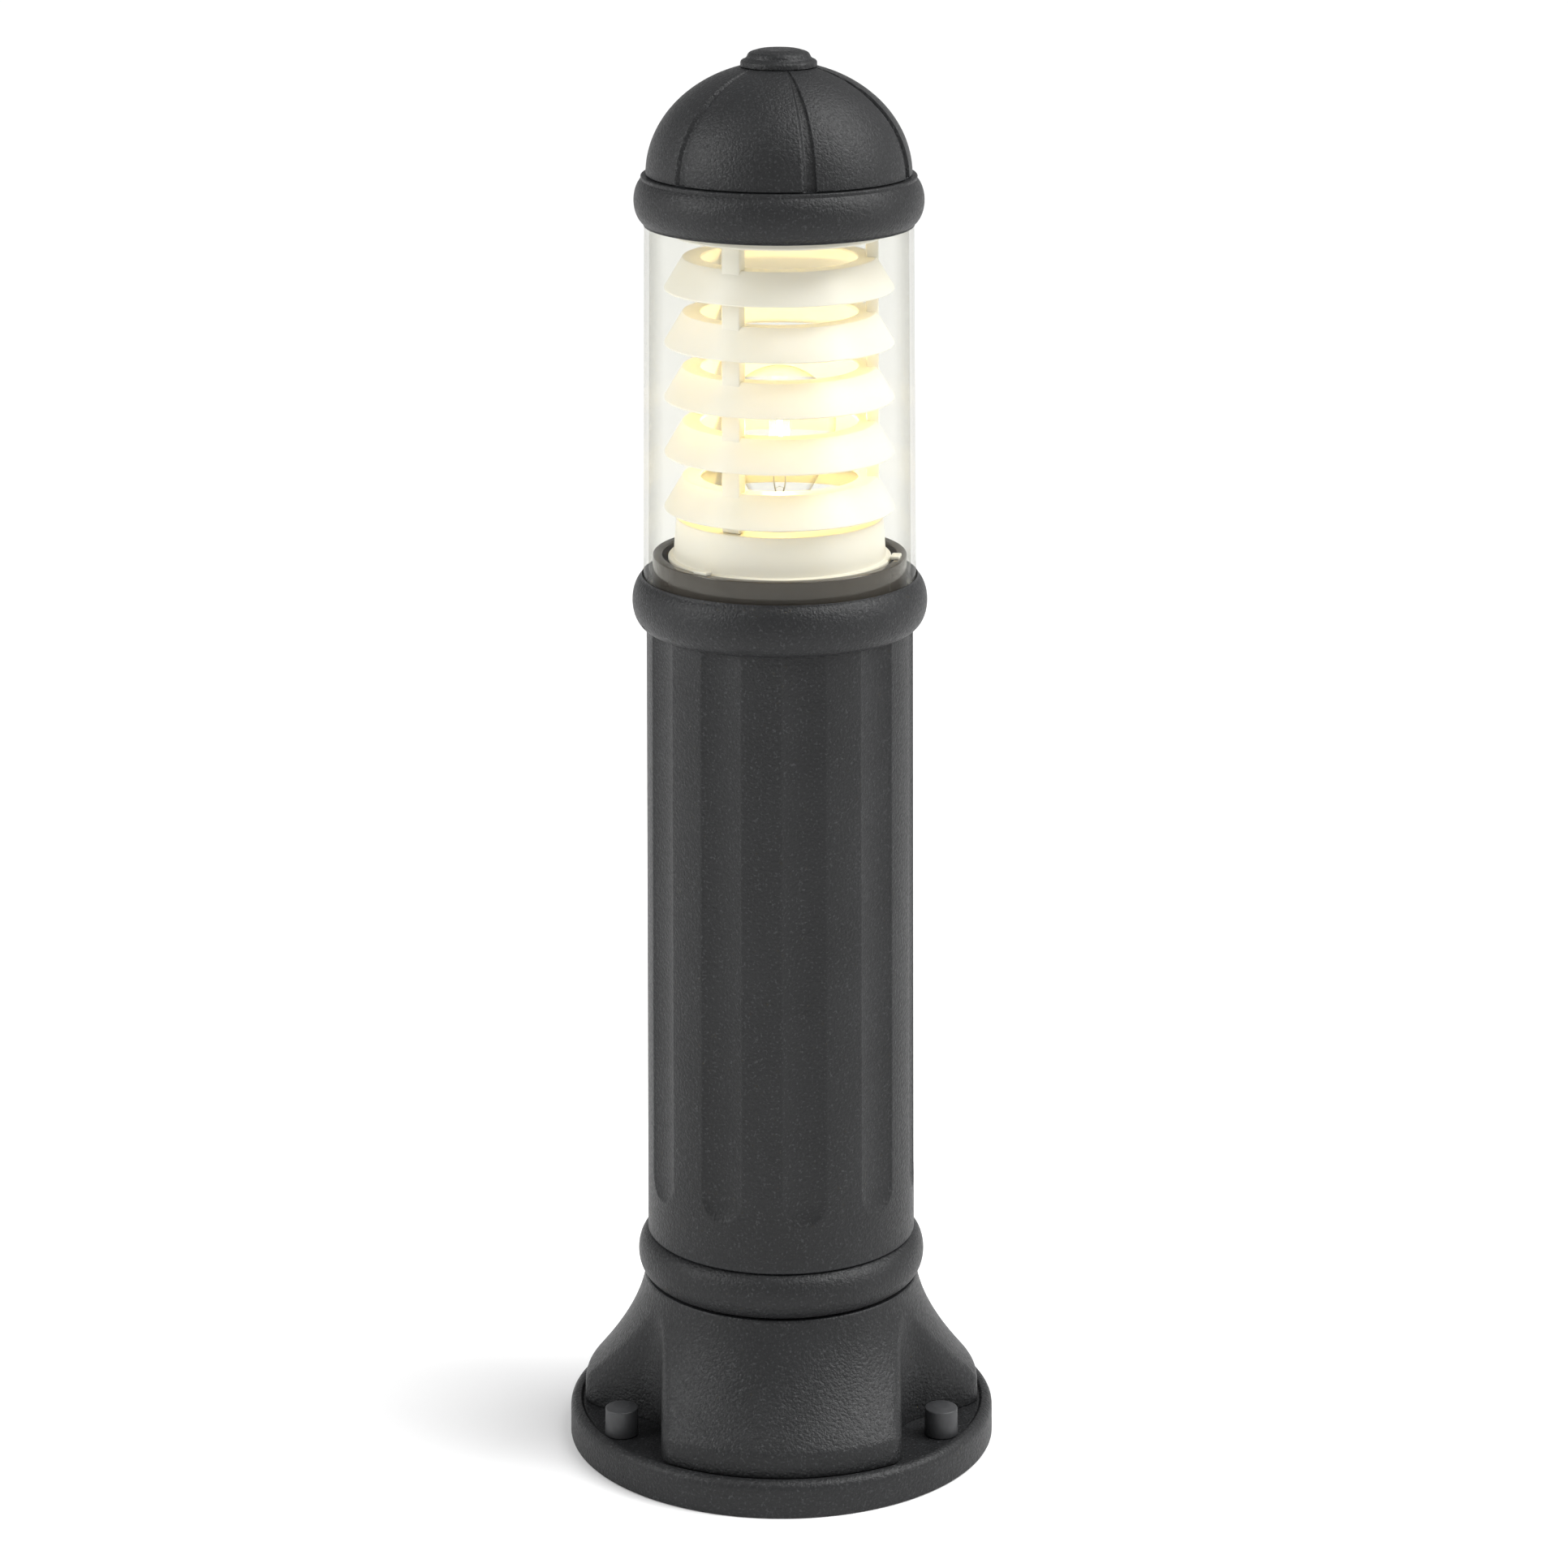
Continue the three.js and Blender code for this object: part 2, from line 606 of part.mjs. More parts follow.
function lampholderContact() {
  const floor = BRACKET_TOP + GAP + HOLDER.floor + GAP;
  const width = 6;
  const outline = [
    [-9, floor],
    [2, floor],
    [7, floor + 3.2],
    [7, floor + 4],
    [-3, floor + 4],
    [-3, floor + 3.3],
    [5, floor + 3.3],
    [1.6, floor + 0.8],
    [-9, floor + 0.8],
  ];
  return prism(outline, -width / 2, width / 2).rotateX(Math.PI / 2);
}

// A screw down through the bracket, with its head on top.
function holderScrew(side) {
  const { shank, head, headHeight, bottom } = BRACKET_SCREW;
  const seat = BRACKET_TOP + GAP;
  const profile = [
    [0, bottom],
    [shank, bottom],
    [shank, seat],
    [head, seat],
    [head, seat + headHeight],
    [0, seat + headHeight],
  ];
  return lathe(profile, SMALL).translate(0, side * BRACKET.screwReach, 0);
}

// A screw up into the bracket, with its head below.
function earthScrew() {
  const { shank, head, headHeight } = BRACKET_SCREW;
  const headTop = GALLERY_FLOOR;
  const dims = { shank, head, headBottom: headTop - headHeight, headTop, top: BRACKET_TOP - GAP };
  return screw(dims, [0, BRACKET.earthReach]);
}

// Up the back of the column, then in to the axis.
function wire(start, end) {
  const way = WIRE_WAY.map(([share, y, z]) => [start[0] * share, y, z]);
  const points = [start, ...way, [end[0], end[1], WIRE_TURN], end];
  const section = shapeOf(arc(0, 0, WIRE_RADIUS, WIRE_RADIUS, 0, 300, 5));
  const extrudePath = new THREE.CatmullRomCurve3(points.map((p) => new THREE.Vector3(...p)));
  return new THREE.ExtrudeGeometry(section, { steps: 34, extrudePath, bevelEnabled: false });
}

add("gallery_ring", galleryRing(), galleryGrey);
add("lampholder_bracket", holderBracket(), zincSteel);
[-1, 1].forEach((side, i) => add(`holder_screw_${i + 1}`, holderScrew(side), zincSteel));
add("earth_screw", earthScrew(), brass);
add("lampholder_body", lampholderBody(), holderBrown);
add("lampholder_shell", lampholderShell(), brass);
add("lampholder_contact", lampholderContact(), brass);

const WIRE_STARTS = { live: -TERMINAL.wellPitch, neutral: TERMINAL.wellPitch, earth: 0 };
const WIRE_ENDS = {
  live: [WIRE_HOLES.live, 0, BRACKET_TOP],
  neutral: [WIRE_HOLES.neutral, 0, BRACKET_TOP],
  earth: [0, BRACKET.earthReach, GALLERY_FLOOR - BRACKET_SCREW.headHeight - GAP],
};
Object.entries(WIRE_STARTS).forEach(([name, x]) => {
  const look = { color: WIRE_COLOURS[name], roughness: 0.5, metalness: 0 };
  const blockTop = TERMINAL.blockBottom + TERMINAL.blockHeight + GAP;
  add(`wire_${name}`, wire([x, TERMINAL.wireY, blockTop], WIRE_ENDS[name]), look);
});

// --- Lamp ---------------------------------------------------------------------------

function lampGlassEnvelope() {
  const crown = LAMP_TOP - LAMP_WIDEST;
  const envelope = (inset) => [
    [THREAD_RADIUS - 1.4 - inset, 470],
    [THREAD_RADIUS - 1.4 - inset, 486],
    [16.5 - inset, 497],
    [25.5 - inset, 513],
    ...arc(0, LAMP_WIDEST, LAMP_RADIUS - inset, crown - inset, -12, 72, 4),
    [0, LAMP_TOP - inset],
  ];
  return lathe([...envelope(1).reverse(), ...envelope(0)], LAMP);
}

const LAMP_TIP = [
  [0, LAMP_BOTTOM],
  [3.5, LAMP_BOTTOM],
  [4.8, LAMP_BOTTOM + 1.2],
  [4.8, LAMP_BOTTOM + 2],
  [9.5, LAMP_BOTTOM + 3.6],
  [9.5, LAMP_BOTTOM + 4.2],
  [0, LAMP_BOTTOM + 4.2],
];
const LAMP_CAP = [
  [0, LAMP_BOTTOM + 4.5],
  [9.8, LAMP_BOTTOM + 4.5],
  [THREAD_RADIUS, LAMP_BOTTOM + 7],
  [THREAD_RADIUS, LAMP_BOTTOM + 27],
  [THREAD_RADIUS - 0.9, LAMP_BOTTOM + 27],
  [THREAD_RADIUS - 0.9, LAMP_BOTTOM + 7.6],
  [9.4, LAMP_BOTTOM + 5.6],
  [0, LAMP_BOTTOM + 5.6],
];
const CAPSULE = [
  [0, 466],
  [4, 466],
  [4, 500],
  [1.5, 503],
  [1.5, 509],
  [5.5, 513],
  [6.2, 519],
  [6.2, 540],
  [3, 546],
  [0, 547],
];

add("lamp_tip", lathe(LAMP_TIP, LAMP), brass);
add("lamp_cap", lathe(LAMP_CAP, LAMP), nickel);
add("lamp_glass", lampGlassEnvelope(), lampGlass);
add("lamp_capsule", lathe(CAPSULE, SMALL), lampFilament);

// --- Louvre -------------------------------------------------------------------------

const SKIRT = { foot: 57, waist: 56.5, head: 55, rim: 59.4, rimBottom: 460.8, rimTop: 463 };
const LID = { foot: 57.5, head: 56 };

// One of the louvre's three posts, or the slot for it when it is given a clearance.
function post(azimuth, clearance = 0) {
  const depth = POST_OUTER - POST_INNER + 2 * clearance;
  const width = POST_WIDTH + 2 * clearance;
  const bottom = SKIRT_TOP + GAP;
  const height = LOUVRE_LID_BOTTOM - GAP - bottom;
  const middle = -(POST_OUTER + POST_INNER) / 2;
  return turnTo(block(width, depth, height, 0, middle, bottom), azimuth);
}

function louvreRing(bottom) {
  const top = bottom + LOUVRE_HEIGHT;
  const profile = [
    [LOUVRE_BOTTOM_RADIUS - LOUVRE_WALL, bottom],
    [LOUVRE_BOTTOM_RADIUS, bottom],
    [LOUVRE_TOP_RADIUS, top],
    [LOUVRE_BORE, top],
    [LOUVRE_BORE, top - LOUVRE_WALL],
    [LOUVRE_TOP_RADIUS - LOUVRE_WALL + 0.8, top - LOUVRE_WALL],
  ];
  return cut(lathe(profile, MEDIUM), ...POST_AZIMUTHS.map((a) => post(a, GAP)));
}

function louvreBase() {
  const { foot, waist, head, rim, rimBottom, rimTop } = SKIRT;
  const bottom = GALLERY_FLOOR + GAP;
  const profile = [
    [foot - LOUVRE_WALL, bottom],
    [foot, bottom],
    [waist, rimBottom],
    [rim, rimBottom],
    [rim, rimTop],
    [waist, rimTop],
    [head, SKIRT_TOP],
    [LOUVRE_BORE, SKIRT_TOP],
    [LOUVRE_BORE, SKIRT_TOP - LOUVRE_WALL],
    [head - LOUVRE_WALL, SKIRT_TOP - LOUVRE_WALL],
  ];
  return lathe(profile, MEDIUM);
}

function louvreLid() {
  const { foot, head } = LID;
  const floor = LOUVRE_LID_BOTTOM + LOUVRE_WALL;
  const profile = [
    [0, LOUVRE_LID_BOTTOM],
    [foot, LOUVRE_LID_BOTTOM],
    [head, LOUVRE_LID_TOP],
    [head - LOUVRE_WALL, LOUVRE_LID_TOP],
    [head - LOUVRE_WALL, floor],
    [0, floor],
  ];
  return lathe(profile, MEDIUM);
}

add("louvre_base", louvreBase(), louvreWhite);
for (let i = 0; i < LOUVRE_RINGS; i++) {
  add(`louvre_ring_${i + 1}`, louvreRing(LOUVRE_FIRST + i * LOUVRE_PITCH), louvreWhite);
}
POST_AZIMUTHS.forEach((azimuth, i) => add(`louvre_post_${i + 1}`, post(azimuth), louvreWhite));
add("louvre_lid", louvreLid(), louvreWhite);

// --- Diffuser and cap ---------------------------------------------------------------

function diffuser() {
  return lathe([
    [DIFFUSER_FOOT_RADIUS - DIFFUSER_WALL, DIFFUSER_BOTTOM],
    [DIFFUSER_FOOT_RADIUS, DIFFUSER_BOTTOM],
    [DIFFUSER_HEAD_RADIUS, DIFFUSER_TOP],
    [DIFFUSER_HEAD_RADIUS - DIFFUSER_WALL, DIFFUSER_TOP],
  ]);
}

function gasket(inner, outer, bottom, top) {
  return lathe([
    [inner, bottom],
    [outer, bottom],
    [outer, top],
    [inner, top],
  ]);
}

const GROOVE_RADIUS = DIFFUSER_HEAD_RADIUS + 0.4;
const GROOVE_TOP = 653;
const CAP_RING = { middle: 651.6, bead: 68.6, halfHeight: 13.5, lip: 74.2 };
const RING_BORE = 59.5;
const DOME_BOTTOM = CAP_RING_TOP + GAP;
const DOME_FLANGE = 5;
const FLANGE_BORE = 58;
const FINIAL_SEAT = 721.6;
const FINIAL_TIER = 725.6;
const STUD_RADIUS = 3;
const STUD_BOTTOM = 707.5;
const NUT = { radius: 5.8, bottom: 711, height: 5 };
const DOME_SCREW = { shank: 2, head: 3.6, headBottom: 649.2, headTop: GROOVE_TOP - GAP, top: 669 };

function capRing() {
  const { middle, bead, halfHeight, lip } = CAP_RING;
  const ring = lathe([
    [GROOVE_RADIUS, CAP_RING_BOTTOM],
    ...arc(bead, middle, CAP_RING_RADIUS - bead, halfHeight, -64, 50, 5),
    [lip, CAP_RING_TOP - 0.8],
    [lip - 0.6, CAP_RING_TOP],
    [RING_BORE, CAP_RING_TOP],
    [RING_BORE, GROOVE_TOP],
    [GROOVE_RADIUS, GROOVE_TOP],
  ]);
  const holes = DOME_SCREW_AZIMUTHS.map((a) =>
    pin(DOME_SCREW.shank + GAP, GROOVE_TOP - 1, CAP_RING_TOP + 1, polar(DOME_SCREW_CIRCLE, a)),
  );
  return cut(ring, ...holes);
}

// Half of an elliptical hoop that cuts a groove along two opposite meridians of the dome.
function meridianCutter(azimuth) {
  const depth = DOME_GROOVE_DEPTH;
  const outline = [
    ...arc(0, DOME_BOTTOM, DOME_RADIUS + 2, DOME_HEIGHT + 2, -2, 182, 12),
    ...arc(0, DOME_BOTTOM, DOME_RADIUS - depth, DOME_HEIGHT - depth, 182, -2, 12),
  ];
  const hoop = prism(outline, -DOME_GROOVE_WIDTH / 2, DOME_GROOVE_WIDTH / 2);
  return turnTo(hoop.rotateX(Math.PI / 2).rotateZ(Math.PI / 2), azimuth);
}

function capDome() {
  const flangeTop = DOME_BOTTOM + DOME_FLANGE;
  const recess = FINIAL_RADIUS + 0.5;
  const hole = STUD_RADIUS + 0.4;
  const recessAngle = THREE.MathUtils.radToDeg(Math.acos(recess / DOME_RADIUS));
  const holeAngle = THREE.MathUtils.radToDeg(Math.acos(hole / DOME_INNER_RADIUS));
  const flangeAngle = THREE.MathUtils.radToDeg(Math.asin(DOME_FLANGE / DOME_INNER_HEIGHT));
  const shell = lathe([
    [FLANGE_BORE, DOME_BOTTOM],
    ...arc(0, DOME_BOTTOM, DOME_RADIUS, DOME_HEIGHT, 0, recessAngle, 7),
    [recess, FINIAL_SEAT],
    [hole, FINIAL_SEAT],
    ...arc(0, DOME_BOTTOM, DOME_INNER_RADIUS, DOME_INNER_HEIGHT, holeAngle, flangeAngle, 5),
    [FLANGE_BORE, flangeTop],
  ]);
  const holes = DOME_SCREW_AZIMUTHS.map((a) =>
    pin(DOME_SCREW.shank + GAP, DOME_BOTTOM - 1, flangeTop + 1, polar(DOME_SCREW_CIRCLE, a)),
  );
  return cut(shell, ...DOME_GROOVE_AZIMUTHS.map(meridianCutter), ...holes);
}

// The boss on top of the dome, in one piece with its stud.
function finial() {
  const bottom = FINIAL_SEAT + GAP;
  const round = 1.4;
  const crown = 2.6;
  const profile = [
    [0, STUD_BOTTOM],
    [STUD_RADIUS, STUD_BOTTOM],
    [STUD_RADIUS, bottom],
    [FINIAL_RADIUS, bottom],
    ...arc(FINIAL_RADIUS - round, FINIAL_TIER - round, round, round, 0, 90, 2),
    [FINIAL_TIER_RADIUS, FINIAL_TIER],
    ...arc(FINIAL_TIER_RADIUS - crown, TOTAL_HEIGHT - crown, crown, crown, 0, 90, 2),
    [0, TOTAL_HEIGHT],
  ];
  return lathe(profile, MEDIUM);
}

function finialNut() {
  const { radius, bottom, height } = NUT;
  const nut = pin(radius, bottom, bottom + height, [0, 0], 6);
  return cut(nut, pin(STUD_RADIUS + GAP, bottom - 1, bottom + height + 1));
}

const GASKET_BOTTOM = SEAT_FLOOR + GAP;
add("diffuser_gasket", gasket(68.6, SEAT_RADIUS - GAP, GASKET_BOTTOM, DIFFUSER_BOTTOM - GAP), silicone);
add("diffuser", diffuser(), clearPlastic);
add("cap_gasket", gasket(68.2, DIFFUSER_HEAD_RADIUS, DIFFUSER_TOP + GAP, GROOVE_TOP - GAP), silicone);
add("cap_ring", capRing(), powderCoat);
add("cap_dome", capDome(), powderCoat);
DOME_SCREW_AZIMUTHS.forEach((azimuth, i) => {
  add(`dome_screw_${i + 1}`, screw(DOME_SCREW, polar(DOME_SCREW_CIRCLE, azimuth)), zincSteel);
});
add("cap_finial", finial(), powderCoat);
add("finial_nut", finialNut(), zincSteel);

export default light;
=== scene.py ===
"""Bollard light: the fine visible model, its materials, light and camera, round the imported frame.

Lengths in this script are millimetres in the part's own frame (+Z up, front towards -Y) until a
mesh is made, which turns them into metres. Azimuths are degrees from the front (-Y) towards +X.
"""
import json
import math

import bpy
from mathutils import Matrix, Vector


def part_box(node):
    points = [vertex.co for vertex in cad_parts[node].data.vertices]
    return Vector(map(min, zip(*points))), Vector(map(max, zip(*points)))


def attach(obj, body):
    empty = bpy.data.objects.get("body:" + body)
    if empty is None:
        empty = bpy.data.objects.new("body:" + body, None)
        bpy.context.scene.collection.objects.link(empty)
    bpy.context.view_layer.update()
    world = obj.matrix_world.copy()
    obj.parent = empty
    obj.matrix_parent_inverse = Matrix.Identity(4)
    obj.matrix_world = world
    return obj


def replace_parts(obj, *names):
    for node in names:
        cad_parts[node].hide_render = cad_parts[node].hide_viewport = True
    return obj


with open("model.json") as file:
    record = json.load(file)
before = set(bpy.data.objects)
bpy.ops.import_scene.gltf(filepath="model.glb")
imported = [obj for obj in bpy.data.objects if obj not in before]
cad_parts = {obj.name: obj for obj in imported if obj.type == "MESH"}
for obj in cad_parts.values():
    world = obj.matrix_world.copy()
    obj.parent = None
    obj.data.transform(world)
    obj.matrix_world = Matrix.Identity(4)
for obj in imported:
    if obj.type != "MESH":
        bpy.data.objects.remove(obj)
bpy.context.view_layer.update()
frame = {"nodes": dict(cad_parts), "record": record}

MM = 0.001
FULL_TURN = 360.0


# --- Numbers from the frame ---

def low(node):
    """A CAD node's lowest corner in millimetres."""
    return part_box(node)[0] / MM


def high(node):
    """A CAD node's highest corner in millimetres."""
    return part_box(node)[1] / MM


def centre(node):
    """A CAD node's middle in millimetres."""
    return (low(node) + high(node)) / 2


def span(node):
    """The bottom and top of a CAD node in millimetres."""
    return low(node).z, high(node).z


def half_width(node):
    """Half a CAD node's width in millimetres."""
    return (high(node).x - low(node).x) / 2


PLATE_RADIUS = high("base_plate").x
PLATE_TOP = high("base_plate").z
BASE_BOTTOM = low("base_body").z
BASE_TOP = high("base_body").z
COLUMN_BOTTOM = low("column").z
COLUMN_TOP = high("column").z
COLLAR_RADIUS = high("column").x
CAP_RING_BOTTOM = low("cap_ring").z
CAP_RING_TOP = high("cap_ring").z
CAP_RING_RADIUS = high("cap_ring").x
DOME_BOTTOM = low("cap_dome").z
DOME_RADIUS = high("cap_dome").x
TOTAL_HEIGHT = high("cap_finial").z
FINIAL_RADIUS = high("cap_finial").x
DIFFUSER_FOOT = high("diffuser").x
LOUVRE_RINGS = 5

# Clearance between two pieces that touch on the real object.
GAP = 0.3
GROOVE_TOP = high("cap_gasket").z + GAP

ENTRY_RADIUS = 36.0
RIM_WIDTH = 6.6
RECESS_FLOOR = BASE_BOTTOM - GAP
LOBES = 3
LOBE_HALF_WIDTH = 62.0
LOBE_TOE_RADIUS = 104.0
NECK_RADIUS = 72.0
BASE_WALL = 5.0
WEB_BORE = 46.0
WEB_BOTTOM = 76.0
COLUMN_RADIUS = 70.8
COLUMN_FOOT_RADIUS = 70.5
COLUMN_BORE = 65.4
FLUTES = 10
FLUTE_FIRST_AZIMUTH = 10.0
FLUTE_HALF_WIDTH = 12.0
FLUTE_DEPTH = 2.9
FLUTE_BOTTOM = 131.0
FLUTE_TOP = COLUMN_TOP - 27.7
COLLAR_MID = COLUMN_TOP - 13.5
BEAD_WIDTH = 9.0
BEAD_HALF_HEIGHT = 14.3
SEAT_RADIUS = 72.9
SEAT_FLOOR = 442.6
DOME_HEIGHT = 59.4
DOME_INNER = (67.8, 52.0)
FINIAL_SEAT = high("cap_dome").z
DOME_SEAMS = 6
DOME_SEAM_AZIMUTH = 12.9
SET_SCREW_AZIMUTHS = {"left": -72.0, "right": 108.0}
SET_SCREW_HEIGHT = centre("set_screw_left").z
SET_SCREW_RADIUS = 2.0
SET_SCREW_HOLE = 2.4
E27_PITCH = 3.629
WIRE_RADIUS = 1.25
HEX_SIDES = 6


# --- Shape helpers ---

def place(radius, azimuth, height=0.0):
    """A point at an azimuth, in millimetres."""
    angle = math.radians(azimuth)
    return Vector((radius * math.sin(angle), -radius * math.cos(angle), height))


def smooth_step(value):
    """0 to 1 with soft ends."""
    value = min(1.0, max(0.0, value))
    return value * value * (3 - 2 * value)


def soft_min(a, b, blend):
    """The lower of two lengths, with a fillet about `blend` wide where they cross."""
    overlap = max(blend - abs(a - b), 0.0) / blend
    return min(a, b) - overlap * overlap * blend / 4


def soft_max(a, b, blend):
    """The higher of two lengths, with the same fillet."""
    return -soft_min(-a, -b, blend)


def nearest_turn(azimuth, first, count):
    """How far an azimuth is from the nearest of `count` evenly spaced ones."""
    pitch = FULL_TURN / count
    return (azimuth - first + pitch / 2) % pitch - pitch / 2


def hexagon(flat_radius, azimuth, first=0):
    """The radius at an azimuth of a hexagon whose flats are `flat_radius` from its middle."""
    return flat_radius / math.cos(math.radians(nearest_turn(azimuth, first, HEX_SIDES)))


def thread_wave(azimuth, z, pitch):
    """A right-hand thread's height at a point, from -1 in the root to 1 at the crest."""
    return math.cos(math.tau * (z / pitch - azimuth / FULL_TURN))


def arc(r, z, reach, rise, start, end, steps):
    """Points on an ellipse about (r, z), between two angles."""
    angles = [math.radians(start + (end - start) * i / steps) for i in range(steps + 1)]
    return [(r + reach * math.cos(a), z + rise * math.sin(a)) for a in angles]


def rounded(corners, closed=True):
    """A path of (r, z, fillet) corners, with each fillet as an arc."""
    path = []
    count = len(corners)
    for i, corner in enumerate(corners):
        here = Vector(corner[:2])
        fillet = corner[2] if len(corner) > 2 else 0
        if not fillet or (not closed and i in (0, count - 1)):
            path.append(tuple(here))
            continue
        back = (Vector(corners[i - 1][:2]) - here).normalized()
        on = (Vector(corners[(i + 1) % count][:2]) - here).normalized()
        angle = back.angle(on)
        middle = here + (back + on).normalized() * (fillet / math.sin(angle / 2))
        reach = fillet / math.tan(angle / 2)
        first = here + back * reach - middle
        last = here + on * reach - middle
        steps = max(2, round((math.pi - angle) / math.radians(12)))
        path += [tuple(middle + first.slerp(last, k / steps) * fillet) for k in range(steps + 1)]
    return path


def spaced(start, end, step):
    """Heights from start to end, about `step` apart, without the last."""
    count = max(1, round(abs(end - start) / step))
    return [start + (end - start) * i / count for i in range(count)]


def add_object(name, data):
    """A new object in the scene."""
    thing = bpy.data.objects.new(name, data)
    bpy.context.scene.collection.objects.link(thing)
    return thing


def make_piece(name, vertices, faces, body, slot, smooth_angle=38):
    """A mesh piece from millimetre vertices, with its material, that rides on a body."""
    mesh = bpy.data.meshes.new(name)
    mesh.from_pydata([Vector(v) * MM for v in vertices], [], faces)
    mesh.validate()
    piece = add_object(name, mesh)
    shade(piece, smooth_angle)
    mesh.materials.append(finishes[slot])
    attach(piece, body)
    return piece


def shade(piece, smooth_angle):
    """Smooth shading, with edges sharper than the angle left crisp."""
    piece.data.shade_smooth()
    piece.data.set_sharp_from_angle(angle=math.radians(smooth_angle))


def apply_modifiers(piece):
    """Makes the result of a piece's modifiers its own mesh."""
    graph = bpy.context.evaluated_depsgraph_get()
    mesh = bpy.data.meshes.new_from_object(piece.evaluated_get(graph))
    piece.modifiers.clear()
    piece.data = mesh


def turned(name, path, body, slot, columns=192, relief=None, offset=(0, 0), smooth_angle=38):
    """Turns a path of (r, z) points about Z. A path off the axis at its ends closes on itself.

    relief(azimuth, r, z) gives the (r, z) to use instead at that azimuth.
    """
    tiny = 1e-6
    on_axis = path[0][0] < tiny and path[-1][0] < tiny
    vertices, rings = [], []
    for r, z in path:
        if r < tiny:
            rings.append([len(vertices)])
            vertices.append((offset[0], offset[1], z))
            continue
        ring = []
        for j in range(columns):
            azimuth = FULL_TURN * j / columns
            radius, height = relief(azimuth, r, z) if relief else (r, z)
            ring.append(len(vertices))
            vertices.append(place(radius, azimuth, height) + Vector((*offset, 0)))
        rings.append(ring)
    pairs = list(zip(rings, rings[1:])) + ([] if on_axis else [(rings[-1], rings[0])])
    faces = []
    for lower, upper in pairs:
        for j in range(columns):
            k = (j + 1) % columns
            face = [lower[j % len(lower)], lower[k % len(lower)],
                    upper[k % len(upper)], upper[j % len(upper)]]
            faces.append(list(dict.fromkeys(face)))
    return make_piece(name, vertices, faces, body, slot, smooth_angle)


def cut_away(piece, *tools):
    """Subtracts mesh tools from a piece for good, and removes the tools."""
    for tool in tools:
        cut = piece.modifiers.new("cut", "BOOLEAN")
        cut.object = tool
        cut.operation = "DIFFERENCE"
        cut.solver = "EXACT"
    apply_modifiers(piece)
    for tool in tools:
        bpy.data.objects.remove(tool)


def drill(start, end, radius, sides=32):
    """A plain cylinder between two points, for cutting with."""
    axis = Vector(end) - Vector(start)
    turn = axis.to_track_quat("Z", "Y").to_matrix()
    rings = []
    for base in (Vector(start), Vector(end)):
        rings.append([
            (base + turn @ Vector((math.cos(a) * radius, math.sin(a) * radius, 0))) * MM
            for a in (math.tau * i / sides for i in range(sides))
        ])
    faces = [[i, (i + 1) % sides, sides + (i + 1) % sides, sides + i] for i in range(sides)]
    faces += [list(range(sides))[::-1], list(range(sides, 2 * sides))]
    mesh = bpy.data.meshes.new("drill")
    mesh.from_pydata(rings[0] + rings[1], [], faces)
    return add_object("drill", mesh)


def slab(name, size, middle, body, slot, bevel=0.5, turn=0.0):
    """A block with rounded edges, turned about the part's axis."""
    half = Vector(size) / 2
    corners = [Vector((x, y, z)) for x in (-1, 1) for y in (-1, 1) for z in (-1, 1)]
    spin = Matrix.Rotation(math.radians(turn), 3, "Z")
    vertices = [spin @ (Vector(middle) + Vector(c * h for c, h in zip(corner, half)))
                for corner in corners]
    faces = [[0, 1, 3, 2], [4, 6, 7, 5], [0, 4, 5, 1], [2, 3, 7, 6], [0, 2, 6, 4], [1, 5, 7, 3]]
    piece = make_piece(name, vertices, faces, body, slot)
    edge = piece.modifiers.new("edge", "BEVEL")
    edge.width = bevel * MM
    edge.segments = 3
    apply_modifiers(piece)
    shade(piece, 30)
    return piece


def rod(name, points, radius, body, slot, sides=16):
    """A round rod or wire along a smooth route of millimetre points."""
    route = [Vector(p) for p in points]
    normals, vertices, faces = [], [], []
    for i in range(len(route)):
        ahead = route[min(i + 1, len(route) - 1)] - route[max(i - 1, 0)]
        normals.append(ahead.normalized())
    side = normals[0].orthogonal().normalized()
    for point, normal in zip(route, normals):
        side = (side - normal * side.dot(normal)).normalized()
        other = normal.cross(side)
        for k in range(sides):
            a = math.tau * k / sides
            vertices.append(point + (side * math.cos(a) + other * math.sin(a)) * radius)
    for i in range(len(route) - 1):
        for k in range(sides):
            m = (k + 1) % sides
            faces.append([i * sides + k, i * sides + m, (i + 1) * sides + m, (i + 1) * sides + k])
    faces.append(list(range(sides))[::-1])
    faces.append([(len(route) - 1) * sides + k for k in range(sides)])
    return make_piece(name, vertices, faces, body, slot)


def smooth_route(points, steps=8):
    """More points along a Catmull-Rom curve through the given ones."""
    pts = [Vector(p) for p in points]
    ends = [2 * pts[0] - pts[1], *pts, 2 * pts[-1] - pts[-2]]
    route = []
    for a, b, c, d in zip(ends, ends[1:], ends[2:], ends[3:]):
        for k in range(steps):
            t = k / steps
            route.append(0.5 * (2 * b + (c - a) * t + (2 * a - 5 * b + 4 * c - d) * t * t
                                + (3 * b - a - 3 * c + d) * t * t * t))
    return [*route, pts[-1]]


# --- Materials ---

